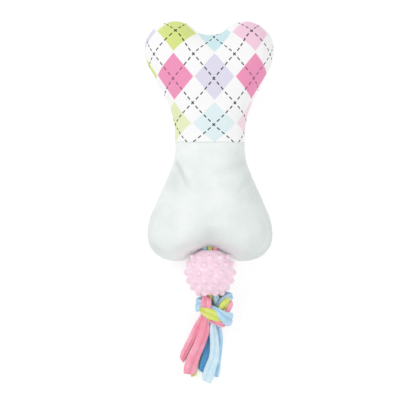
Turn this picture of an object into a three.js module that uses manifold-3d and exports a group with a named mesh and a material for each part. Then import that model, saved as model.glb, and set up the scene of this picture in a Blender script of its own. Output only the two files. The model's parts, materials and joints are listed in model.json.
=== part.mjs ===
// A squeaky plush bone for a dog. Two printed and two plush covers hold fibre filling and a squeaker.
// Three fleece strands come out of the lower seam, carry a spiky rubber ball and end in a knot with six tails.
// Millimetres, +Z up. The toy lies on its back with the printed end towards +Y.
// The origin is on the floor under the bone's middle.
import * as THREE from "three";
import { mergeVertices } from "three/addons/utils/BufferGeometryUtils.js";
import Module from "manifold-3d";

const wasm = await Module();
wasm.setup();

// Bone outline
const boneLength = 200;
const upperLobeRadius = 24.2;
const upperLobeSpread = 58.6;
const upperSideRadius = 38; // the upper lobe's outer side, below its widest point
const upperNotchDepth = 11;
const lowerLobeRadius = 21.5;
const lowerLobeSpread = 62;
const lowerSideRadius = 50; // the lower lobe's outer side, above its widest point
const waistWidth = 57.4;
const upperHollowRadius = 80; // where the waist turns into the upper flank
const lowerHollowRadius = 60; // where it turns into the lower flank
const crossSeamDrop = 1.5; // from the bone's middle down to the waist and its seam

// Bone thickness
const seamHeight = 22; // the side seam above the floor, and the depth of the flat-lying back
const lobeDepth = 22.5; // the front's crown above the side seam, at the lobes
const waistDepth = 19; // the same at the waist
const edgeRoll = 20; // how far in from the edge the cover reaches its crown
const coverThickness = 1.5;

// Clearances
const seamGap = 0.3;
const fillGap = 0.3;
const seatGap = 0.3;
const pocketGap = 0.5;
const slotGap = 0.5;
const ballGap = 0.4;
const swayGap = 0.8;
const mouthGap = 0.8;

// Squeaker
const squeakerRadius = 18;
const squeakerWall = 1.2;
const baseHeight = 5;
const bellowsHeight = 8.4;
const bellowsBulge = 1.2;
const bellowsWall = 0.9;
const crownHeight = 3.5;
const crownDrop = 0.5; // from the crown's top to the ring where its dome bends down
const crownRing = 10.8; // the radius of that ring
const plugRadius = 3.7;
const plugBore = 2.6;
const plugLength = 8;
const flangeRadius = 5.2;
const flangeThickness = 1;
const reedThickness = 0.4;
const reedWidth = 3.6;
const reedLength = 6.4;
const reedRise = 0.6; // the reed's root above the bottom of the base
const clampLength = 3;

// Ball
const ballRadius = 20;
const ballWall = 3.5;
const boreRadius = 6.8;
const spikeHeight = 2;
const spikeRadius = 2.6;
const spikeSink = 1;
const spikePitch = 9.6; // along a row
const spikeRowPitch = 6.9;
const spikeRows = 5;

// Fleece strands
const strandRadius = 1.9;
const strandPitch = 4.15;
const anchorDepth = 12;
const tailThickness = 4.4;
const tailRootRadius = 2.1;
const tailTaper = 16; // length over which a tail spreads to its full width

// Facets
const rollSteps = 4;
const strandSides = 6;
const tailSides = 8;
const roundSteps = 3;
const spikeSides = 5;
const turnedSides = 24;
const ballSides = 24;
const ballRows = 16;
const hollowSides = 16;
const hollowRows = 10;
const boreSides = 20;
const clampSteps = 10;
const coreSteps = 14;
const knotSteps = 3; // from one point of the route to the next
const tailSteps = 14;

// Materials
const cloth = (colour) => new THREE.MeshStandardMaterial({ color: colour, roughness: 0.95, metalness: 0 });
const plastic = (colour) => new THREE.MeshStandardMaterial({ color: colour, roughness: 0.45, metalness: 0 });
const printedCotton = cloth(0xf2eef2);
const plush = cloth(0xeaf0ef);
const fibreFill = cloth(0xf7f7f4);
const bulbVinyl = plastic(0xf0ede4);
const reedPlastic = plastic(0xd8d4c8);
const softRubber = plastic(0xf4a9cf);
const pinkFleece = cloth(0xf58fae);
const limeFleece = cloth(0xd5e45c);
const blueFleece = cloth(0x8fcdf0);

// A closed geometry with only positions, its shared points merged and its empty triangles dropped.
function welded(geometry) {
  const bare = geometry.clone();
  bare.deleteAttribute("normal");
  bare.deleteAttribute("uv");
  const merged = mergeVertices(bare, 1e-4);
  const source = merged.index.array;
  const kept = [];
  for (let i = 0; i < source.length; i += 3) {
    const [a, b, c] = [source[i], source[i + 1], source[i + 2]];
    if (a !== b && b !== c && c !== a) kept.push(a, b, c);
  }
  merged.setIndex(kept);
  return merged;
}

// The same geometry as a solid that can be joined and cut.
function solid(geometry) {
  const closed = welded(geometry);
  const vertProperties = Float32Array.from(closed.attributes.position.array);
  const triVerts = Uint32Array.from(closed.index.array);
  return new wasm.Manifold(new wasm.Mesh({ numProp: 3, vertProperties, triVerts }));
}

// A joined or cut solid as a geometry again.
function geometryOf(body) {
  const mesh = body.getMesh();
  const geometry = new THREE.BufferGeometry();
  geometry.setAttribute("position", new THREE.BufferAttribute(Float32Array.from(mesh.vertProperties), 3));
  geometry.setIndex(Array.from(mesh.triVerts));
  return geometry;
}

// A box between two corners.
function block(from, to) {
  const size = to.clone().sub(from);
  const middle = to.clone().add(from).multiplyScalar(0.5);
  return new THREE.BoxGeometry(size.x, size.y, size.z).translate(middle.x, middle.y, middle.z);
}

// A profile of [radius, height] pairs turned about the vertical axis.
function turned(profile) {
  const points = profile.map(([radius, height]) => new THREE.Vector2(radius, height));
  return welded(new THREE.LatheGeometry(points, turnedSides).rotateX(Math.PI / 2));
}

// A closed skin over rings of equally many points, with the same flat cap at both ends.
function skin(rings, cap) {
  const count = rings[0].length;
  const last = (rings.length - 1) * count;
  const index = [];
  for (let j = 0; j + 1 < rings.length; j++) {
    for (let i = 0; i < count; i++) {
      const [a, b] = [j * count + i, j * count + ((i + 1) % count)];
      index.push(a, b, b + count, a, b + count, a + count);
    }
  }
  for (const [a, b, c] of cap) {
    index.push(c, b, a, last + a, last + b, last + c);
  }
  const geometry = new THREE.BufferGeometry().setFromPoints(rings.flat());
  geometry.setIndex(index);
  return geometry;
}

// An oval tube through the centres. Across holds the way of its width, and halves(k) its half width and
// half thickness at centre k. With a round root it starts in half a ball about its first centre.
function tube(centres, across, halves, sides, roundRoot) {
  const corners = [];
  for (let i = 0; i < sides; i++) {
    const turn = (2 * Math.PI * (i + 0.5)) / sides;
    corners.push(new THREE.Vector2(Math.cos(turn), Math.sin(turn)));
  }
  const ringAt = (k, back, share) => {
    const before = centres[Math.max(k - 1, 0)];
    const after = centres[Math.min(k + 1, centres.length - 1)];
    const along = after.clone().sub(before).normalize();
    const wide = across[k].clone().addScaledVector(along, -across[k].dot(along)).normalize();
    const thick = along.clone().cross(wide);
    const [halfWidth, halfThickness] = halves(k);
    const middle = centres[k].clone().addScaledVector(along, -back);
    return corners.map((corner) =>
      middle
        .clone()
        .addScaledVector(wide, corner.x * halfWidth * share)
        .addScaledVector(thick, corner.y * halfThickness * share),
    );
  };
  const rings = [];
  if (roundRoot) {
    const radius = halves(0)[1];
    for (let j = 0; j < roundSteps; j++) {
      const turn = ((j + 0.6) / (roundSteps + 0.6)) * (Math.PI / 2);
      rings.push(ringAt(0, radius * Math.cos(turn), Math.sin(turn)));
    }
  }
  centres.forEach((centre, k) => rings.push(ringAt(k, 0, 1)));
  return skin(rings, THREE.ShapeUtils.triangulateShape(corners, []));
}

// The lobes, their flatter outer sides, and the hollows on both sides of the waist
const upperLobe = new THREE.Vector2(upperLobeSpread / 2, boneLength / 2 - upperLobeRadius);
const lowerLobe = new THREE.Vector2(lowerLobeSpread / 2, lowerLobeRadius - boneLength / 2);
const upperSide = new THREE.Vector2(upperLobe.x + upperLobeRadius - upperSideRadius, upperLobe.y);
const lowerSide = new THREE.Vector2(lowerLobe.x + lowerLobeRadius - lowerSideRadius, lowerLobe.y);
const crossSeam = -crossSeamDrop;
const upperHollow = new THREE.Vector2(waistWidth / 2 + upperHollowRadius, crossSeam);
const lowerHollow = new THREE.Vector2(waistWidth / 2 + lowerHollowRadius, crossSeam);
const upperNotchFloor = upperLobeRadius - upperNotchDepth;
const upperNotchRadius =
  (upperLobe.x ** 2 + upperNotchFloor ** 2 - upperLobeRadius ** 2) / (2 * upperNotchDepth);
const upperNotch = new THREE.Vector2(0, upperLobe.y + upperNotchFloor + upperNotchRadius);

// The ball sits in the lower notch, which is round about the ball's centre.
const ballReach = ballRadius + spikeHeight;
const lowerNotchRadius = ballReach + ballGap;
const ballDrop = Math.sqrt((lowerNotchRadius + lowerLobeRadius) ** 2 - lowerLobe.x ** 2);
const lowerNotch = new THREE.Vector2(0, lowerLobe.y - ballDrop);
const seamExit = lowerNotch.y + lowerNotchRadius;

// Turns at which the arcs meet. A straight flank touches a lobe's side and a hollow.
const heading = (from, to) => Math.atan2(to.y - from.y, to.x - from.x);
const lean = (side, hollow, reach) => Math.acos(reach / side.distanceTo(hollow));
const upperReach = upperSideRadius + upperHollowRadius;
const lowerReach = lowerSideRadius + lowerHollowRadius;
const upperFlankTurn = heading(upperSide, upperHollow) + lean(upperSide, upperHollow, upperReach);
const lowerFlankTurn = heading(lowerSide, lowerHollow) - lean(lowerSide, lowerHollow, lowerReach);
const upperNotchTurn = heading(upperLobe, upperNotch);
const lowerNotchTurn = heading(lowerNotch, lowerLobe);

// The right edge from the lower notch to the upper one. Bulge is 1 on a round arc and -1 on a hollow one.
const halfTurn = Math.PI;
const rightEdge = [
  {
    centre: lowerNotch,
    radius: lowerNotchRadius,
    from: halfTurn / 2,
    to: lowerNotchTurn,
    bulge: -1,
    steps: 5,
  },
  {
    centre: lowerLobe,
    radius: lowerLobeRadius,
    from: lowerNotchTurn + halfTurn,
    to: 2 * halfTurn,
    bulge: 1,
    steps: 8,
  },
  { centre: lowerSide, radius: lowerSideRadius, from: 0, to: lowerFlankTurn, bulge: 1, steps: 3 },
  { centre: lowerSide, radius: lowerSideRadius, from: lowerFlankTurn, to: lowerFlankTurn, bulge: 1, steps: 1 },
  {
    centre: lowerHollow,
    radius: lowerHollowRadius,
    from: halfTurn + lowerFlankTurn,
    to: halfTurn,
    bulge: -1,
    steps: 3,
  },
  {
    centre: upperHollow,
    radius: upperHollowRadius,
    from: halfTurn,
    to: halfTurn + upperFlankTurn,
    bulge: -1,
    steps: 4,
  },
  {
    centre: upperHollow,
    radius: upperHollowRadius,
    from: halfTurn + upperFlankTurn,
    to: halfTurn + upperFlankTurn,
    bulge: -1,
    steps: 1,
  },
  { centre: upperSide, radius: upperSideRadius, from: upperFlankTurn, to: 0, bulge: 1, steps: 3 },
  { centre: upperLobe, radius: upperLobeRadius, from: 0, to: upperNotchTurn, bulge: 1, steps: 8 },
  {
    centre: upperNotch,
    radius: upperNotchRadius,
    from: upperNotchTurn - halfTurn,
    to: -halfTurn / 2,
    bulge: -1,
    steps: 4,
  },
];

// The bone's edge moved inwards by the inset, anticlockwise from the lower notch.
function outline(inset) {
  const right = [];
  for (const { centre, radius, from, to, bulge, steps } of rightEdge) {
    for (let k = 0; k < steps; k++) {
      const turn = from + ((to - from) * k) / steps;
      const reach = radius - bulge * inset;
      right.push(new THREE.Vector2(centre.x + reach * Math.cos(turn), centre.y + reach * Math.sin(turn)));
    }
  }
  const left = right.slice(1).reverse();
  const top = new THREE.Vector2(0, upperNotch.y - upperNotchRadius - inset);
  return [...right, top, ...left.map((point) => new THREE.Vector2(-point.x, point.y))];
}

// The stuffed bone, a cover's depth inside its outer face: crowned lobes, a drawn-in waist and a flat back.
function pillow(depth) {
  const edge = outline(0);
  const crown = edge.map((point) => {
    const fromWaist = Math.abs(point.y - crossSeam);
    const swell = THREE.MathUtils.smoothstep(fromWaist, 0, upperLobe.y);
    return waistDepth + (lobeDepth - waistDepth) * swell;
  });
  const rings = [];
  for (let j = -rollSteps; j <= rollSteps; j++) {
    const turn = ((j / rollSteps) * Math.PI) / 2;
    const ring = outline(edgeRoll - (edgeRoll - depth) * Math.cos(turn));
    const heightAt = (i) => ((j > 0 ? crown[i] : seamHeight) - depth) * Math.sin(turn);
    rings.push(ring.map((point, i) => new THREE.Vector3(point.x, point.y, seamHeight + heightAt(i))));
  }
  return skin(rings, THREE.ShapeUtils.triangulateShape(outline(edgeRoll), []));
}

// Cutting blocks on each side of the two seams
const farSide = 2 * boneLength;
const low = new THREE.Vector3(-farSide, -farSide, -farSide);
const high = new THREE.Vector3(farSide, farSide, farSide);
const above = (gap) => solid(block(low.clone().setY(crossSeam + gap / 2), high));
const below = (gap) => solid(block(low, high.clone().setY(crossSeam - gap / 2)));
const front = solid(block(low.clone().setZ(seamHeight + seamGap / 2), high));
const back = solid(block(low, high.clone().setZ(seamHeight - seamGap / 2)));

// The slot in the lower seam that the strands come out of
const slotHalfWidth = strandPitch + strandRadius + slotGap;
const slotHalfHeight = strandRadius + slotGap;
const slot = solid(
  block(
    new THREE.Vector3(-slotHalfWidth, lowerNotch.y, seamHeight - slotHalfHeight),
    new THREE.Vector3(slotHalfWidth, seamExit + anchorDepth + slotGap, seamHeight + slotHalfHeight),
  ),
);

const toy = new THREE.Group();

// Adds a named piece to a group.
function piece(group, name, geometry, material) {
  const mesh = new THREE.Mesh(geometry, material);
  mesh.name = name;
  group.add(mesh);
}

// Covers
const cover = solid(pillow(0)).subtract(solid(pillow(coverThickness))).subtract(slot);
const upperCover = cover.intersect(above(seamGap));
const lowerCover = cover.intersect(below(seamGap));
const bone = new THREE.Group();
toy.add(bone);
piece(bone, "upper_front_panel", geometryOf(upperCover.intersect(front)), printedCotton);
piece(bone, "upper_back_panel", geometryOf(upperCover.intersect(back)), printedCotton);
piece(bone, "lower_front_panel", geometryOf(lowerCover.intersect(front)), plush);
piece(bone, "lower_back_panel", geometryOf(lowerCover.intersect(back)), plush);

// Squeaker heights, from the bottom of its base
const bellowsBottom = baseHeight + seatGap;
const bellowsTop = bellowsBottom + bellowsHeight;
const crownBottom = bellowsTop + seatGap;
const crownTop = crownBottom + crownHeight;
const flangeBottom = -seatGap - flangeThickness;
const socketRadius = plugRadius + seatGap;
const squeaker = new THREE.Group();
squeaker.position.set(0, crossSeam, seamHeight - crownTop / 2);
toy.add(squeaker);

// Filling, in two wads with the squeaker's pocket between them
const pocketRadius = squeakerRadius + bellowsBulge + pocketGap;
const pocketHeight = crownTop - flangeBottom + 2 * pocketGap;
const pocket = new THREE.CylinderGeometry(pocketRadius, pocketRadius, pocketHeight, turnedSides)
  .rotateX(Math.PI / 2)
  .translate(0, crossSeam, squeaker.position.z + (crownTop + flangeBottom) / 2);
const fill = solid(pillow(coverThickness + fillGap)).subtract(slot).subtract(solid(pocket));
piece(bone, "upper_filling", geometryOf(fill.intersect(above(fillGap))), fibreFill);
piece(bone, "lower_filling", geometryOf(fill.intersect(below(fillGap))), fibreFill);

// Squeaker base, a cup with a socket for the plug
const baseProfile = [
  [socketRadius, 0],
  [squeakerRadius, 0],
  [squeakerRadius, baseHeight],
  [squeakerRadius - squeakerWall, baseHeight],
  [squeakerRadius - squeakerWall, squeakerWall],
  [socketRadius + squeakerWall, squeakerWall],
  [socketRadius + squeakerWall, baseHeight - squeakerWall],
  [socketRadius, baseHeight - squeakerWall],
  [socketRadius, 0],
];
piece(squeaker, "squeaker_base", turned(baseProfile), bulbVinyl);

// Flexing wall with two folds
const foldRadii = [0, bellowsBulge, 0, bellowsBulge, 0].map((bulge) => squeakerRadius + bulge);
const foldHeight = (k) => bellowsBottom + (bellowsHeight * k) / (foldRadii.length - 1);
const wallOutside = foldRadii.map((radius, k) => [radius, foldHeight(k)]);
const wallInside = wallOutside.map(([radius, height]) => [radius - bellowsWall, height]).reverse();
piece(squeaker, "squeaker_wall", turned([...wallOutside, ...wallInside, wallOutside[0]]), bulbVinyl);

// Crown, a shallow dome
const ringHeight = crownTop - crownDrop;
const crownProfile = [
  [0, crownTop - squeakerWall],
  [crownRing, ringHeight - squeakerWall],
  [squeakerRadius - squeakerWall, crownBottom],
  [squeakerRadius, crownBottom],
  [squeakerRadius, crownBottom + squeakerWall],
  [crownRing, ringHeight],
  [0, crownTop],
];
piece(squeaker, "squeaker_crown", turned(crownProfile), bulbVinyl);

// Reed plug, pressed into the base from below
const plugProfile = [
  [plugBore, flangeBottom],
  [flangeRadius, flangeBottom],
  [flangeRadius, -seatGap],
  [plugRadius, -seatGap],
  [plugRadius, plugLength],
  [plugBore, plugLength],
  [plugBore, flangeBottom],
];
piece(squeaker, "squeaker_plug", turned(plugProfile), reedPlastic);

// Reed, an upright blade whose root the clamp holds
const reed = new THREE.BoxGeometry(reedThickness, reedWidth, reedLength);
piece(squeaker, "squeaker_reed", reed.translate(0, 0, reedRise + reedLength / 2), reedPlastic);
const clampRadius = plugBore - seatGap;
const clampFace = reedThickness / 2 + seatGap;
const clampTurn = Math.acos(clampFace / clampRadius);
const clampShape = new THREE.Shape().absarc(0, 0, clampRadius, -clampTurn, clampTurn, false);
const clampOptions = { depth: clampLength, bevelEnabled: false, curveSegments: clampSteps };
const clamp = new THREE.ExtrudeGeometry(clampShape, clampOptions).translate(0, 0, reedRise);
piece(squeaker, "reed_clamp", welded(clamp), reedPlastic);

// Strand ends sewn into the seam, blue on the left and pink on the right
const strands = [
  { name: "blue", side: -1, material: blueFleece },
  { name: "lime", side: 0, material: limeFleece },
  { name: "pink", side: 1, material: pinkFleece },
];
const rightwards = new THREE.Vector3(1, 0, 0);
const strandHalves = () => [strandRadius, strandRadius];
for (const { name, side, material } of strands) {
  const outer = new THREE.Vector3(side * strandPitch, seamExit, seamHeight);
  const ends = [outer.clone().setY(seamExit + anchorDepth), outer];
  const across = ends.map(() => rightwards);
  piece(bone, `${name}_anchor`, tube(ends, across, strandHalves, strandSides, false), material);
}

// Spiky ball on its bore, with rows of spikes that leave the two mouths clear
const ball = new THREE.Group();
ball.position.set(0, lowerNotch.y, seamHeight);
toy.add(ball);
let rubber = solid(new THREE.SphereGeometry(ballRadius, ballSides, ballRows));
const spikeLength = spikeHeight + spikeSink;
const poleAxis = new THREE.Vector3(0, 1, 0);
const rowTurn = spikeRowPitch / ballRadius;
for (let row = 0; row < spikeRows; row++) {
  const polar = Math.PI / 2 + (row - (spikeRows - 1) / 2) * rowTurn;
  const count = Math.round((2 * Math.PI * ballRadius * Math.sin(polar)) / spikePitch);
  for (let k = 0; k < count; k++) {
    const turn = (2 * Math.PI * (k + (row % 2) / 2)) / count;
    const way = new THREE.Vector3().setFromSphericalCoords(1, polar, turn);
    const spike = new THREE.ConeGeometry(spikeRadius, spikeLength, spikeSides)
      .translate(0, ballReach - spikeLength / 2, 0)
      .applyQuaternion(new THREE.Quaternion().setFromUnitVectors(poleAxis, way));
    rubber = rubber.add(solid(spike));
  }
}
const hollow = solid(new THREE.SphereGeometry(ballRadius - ballWall, hollowSides, hollowRows));
const bore = solid(new THREE.CylinderGeometry(boreRadius, boreRadius, 3 * ballRadius, boreSides));
piece(ball, "spiky_ball", geometryOf(rubber.subtract(hollow).subtract(bore)), softRubber);

// Strands through the ball, hinged at the seam. They change sides by half a turn on their way.
const swingY = seamExit - seatGap - strandRadius;
const mouthDrop = Math.sqrt(ballRadius ** 2 - boreRadius ** 2);
const swayY = lowerNotch.y - mouthDrop - mouthGap;
const coreLength = swingY - (swayY + strandRadius + swayGap);
const core = new THREE.Group();
core.position.set(0, swingY, seamHeight);
toy.add(core);
for (const { name, side, material } of strands) {
  const centres = [];
  const across = [];
  for (let k = 0; k <= coreSteps; k++) {
    const turn = Math.PI * THREE.MathUtils.smoothstep(k, 0, coreSteps);
    const reach = side * strandPitch;
    const drop = (-coreLength * k) / coreSteps;
    centres.push(new THREE.Vector3(reach * Math.cos(turn), drop, reach * Math.sin(turn)));
    across.push(new THREE.Vector3(Math.cos(turn), 0, Math.sin(turn)));
  }
  piece(core, `${name}_core`, tube(centres, across, strandHalves, strandSides, true), material);
}

// The overhand knot's route from the ball's lower mouth: each point, and the way from lime to blue there.
// Down behind the front wrap, round the right lobe, over the front, round the left lobe, behind the strand
// that came down, over the upper right corner and out under the front wrap.
const knotRoute = [
  { at: [0, 0, 0], way: [1, 0, 0] },
  { at: [-0.5, -4, -2.5], way: [1, 0, 0] },
  { at: [-0.6, -8.8, -9.2], way: [1, 0.1, 0] },
  { at: [0.8, -14.2, -15], way: [0.85, 0.5, 0] },
  { at: [4.6, -18.2, -17.8], way: [0.45, 0.9, 0] },
  { at: [10.8, -20.2, -17], way: [0.1, 1, 0] },
  { at: [16.4, -20.4, -12.4], way: [0, 1, 0] },
  { at: [17.2, -20.2, -5.5], way: [0, 1, 0] },
  { at: [13.2, -20.2, 0.5], way: [0.2, 1, 0] },
  { at: [7, -18.6, 3.4], way: [0.4, 0.9, 0] },
  { at: [0, -15.8, 3.8], way: [0.45, 0.88, 0] },
  { at: [-6.4, -12.8, 1.2], way: [0.4, 0.9, 0] },
  { at: [-10.3, -9.8, -5], way: [0.1, 1, 0] },
  { at: [-8.6, -6.8, -13.2], way: [0, 1, 0] },
  { at: [-2.6, -4.8, -17.4], way: [-0.2, 1, 0] },
  { at: [5.5, -3.4, -17.4], way: [-0.25, 0.97, 0] },
  { at: [12.6, -2.6, -14.4], way: [-0.35, 0.93, 0.1] },
  { at: [16.2, -3.4, -8], way: [-0.5, 0.85, 0.1] },
  { at: [13.6, -7.2, -3.2], way: [-0.75, 0.65, 0.1] },
  { at: [8.6, -11.2, -3.8], way: [-0.5, 0.4, 0.6] },
  { at: [3.8, -15.2, -5.4], way: [0.1, -0.1, 1] },
  { at: [0.4, -18.4, -7.3], way: [0.6, -0.6, 0.4] },
  { at: [-1.8, -20.2, -8.6], way: [0.63, -0.78, 0] },
];
const knot = new THREE.Group();
knot.position.set(0, swayY, seamHeight);
toy.add(knot);
const vectors = (points) => points.map((point) => new THREE.Vector3(...point));
const routeOf = (points) => new THREE.CatmullRomCurve3(vectors(points), false, "catmullrom");
const knotLine = routeOf(knotRoute.map(({ at }) => at));
const knotWays = routeOf(knotRoute.map(({ way }) => way));
const knotRings = knotSteps * (knotRoute.length - 1);
for (const { name, side, material } of strands) {
  const centres = [];
  const across = [];
  for (let k = 0; k <= knotRings; k++) {
    const t = k / knotRings;
    const along = knotLine.getTangent(t);
    const way = knotWays.getPoint(t);
    way.addScaledVector(along, -way.dot(along)).normalize();
    centres.push(knotLine.getPoint(t).addScaledVector(way, -side * strandPitch));
    across.push(way);
  }
  piece(knot, `${name}_knot`, tube(centres, across, strandHalves, strandSides, true), material);
}

// Tails, from their pivots at the knot to their cut ends. Three lie on the floor and three on top of them.
const tails = [
  {
    name: "pink_left_tail",
    material: pinkFleece,
    width: 5.8,
    route: [
      [-6.6, -18.8, -9.8],
      [-10.6, -27, -12.4],
      [-16.2, -38.7, -17],
      [-21.2, -48.7, -19.1],
      [-23.9, -54.3, -19.3],
    ],
  },
  {
    name: "pink_front_tail",
    material: pinkFleece,
    width: 9,
    route: [
      [-3, -22.2, -9.8],
      [-4.6, -29.2, -11.4],
      [-7.9, -40.7, -13.6],
      [-12.5, -53.7, -14.6],
      [-16.6, -65.9, -14.8],
    ],
  },
  {
    name: "blue_front_tail",
    material: blueFleece,
    width: 7.5,
    route: [
      [2.6, -27, -9.8],
      [3.3, -33, -12],
      [3.9, -42.7, -14.4],
      [3.1, -52.7, -14.8],
      [-0.2, -61.7, -14.8],
      [-3.3, -71.6, -14.8],
    ],
  },
  {
    name: "lime_tail",
    material: limeFleece,
    width: 5.6,
    route: [
      [-3, -23.2, -14.5],
      [-6.6, -34, -18.4],
      [-9.8, -46.7, -19.6],
      [-14.6, -67.1, -19.6],
    ],
  },
  {
    name: "blue_back_tail",
    material: blueFleece,
    width: 7,
    route: [
      [2, -26, -14.5],
      [0.3, -35, -18.4],
      [-2.4, -47.7, -19.6],
      [-7.6, -63.7, -19.6],
    ],
  },
  {
    name: "blue_right_tail",
    material: blueFleece,
    width: 5.8,
    route: [
      [7.3, -28, -15],
      [8, -35.5, -18.2],
      [7.6, -45, -19.6],
      [6.2, -55, -19.6],
      [5, -68.2, -19.6],
    ],
  },
];
for (const { name, material, width, route } of tails) {
  const line = routeOf(route);
  const centres = [];
  for (let k = 0; k <= tailSteps; k++) {
    centres.push(line.getPointAt(k / tailSteps));
  }
  const across = centres.map(() => rightwards);
  const step = line.getLength() / tailSteps;
  const halves = (k) => {
    const spread = THREE.MathUtils.smoothstep(k * step, 0, tailTaper);
    return [
      THREE.MathUtils.lerp(tailRootRadius, width / 2, spread),
      THREE.MathUtils.lerp(tailRootRadius, tailThickness / 2, spread),
    ];
  };
  piece(knot, name, tube(centres, across, halves, tailSides, true), material);
}

export default toy;
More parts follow.
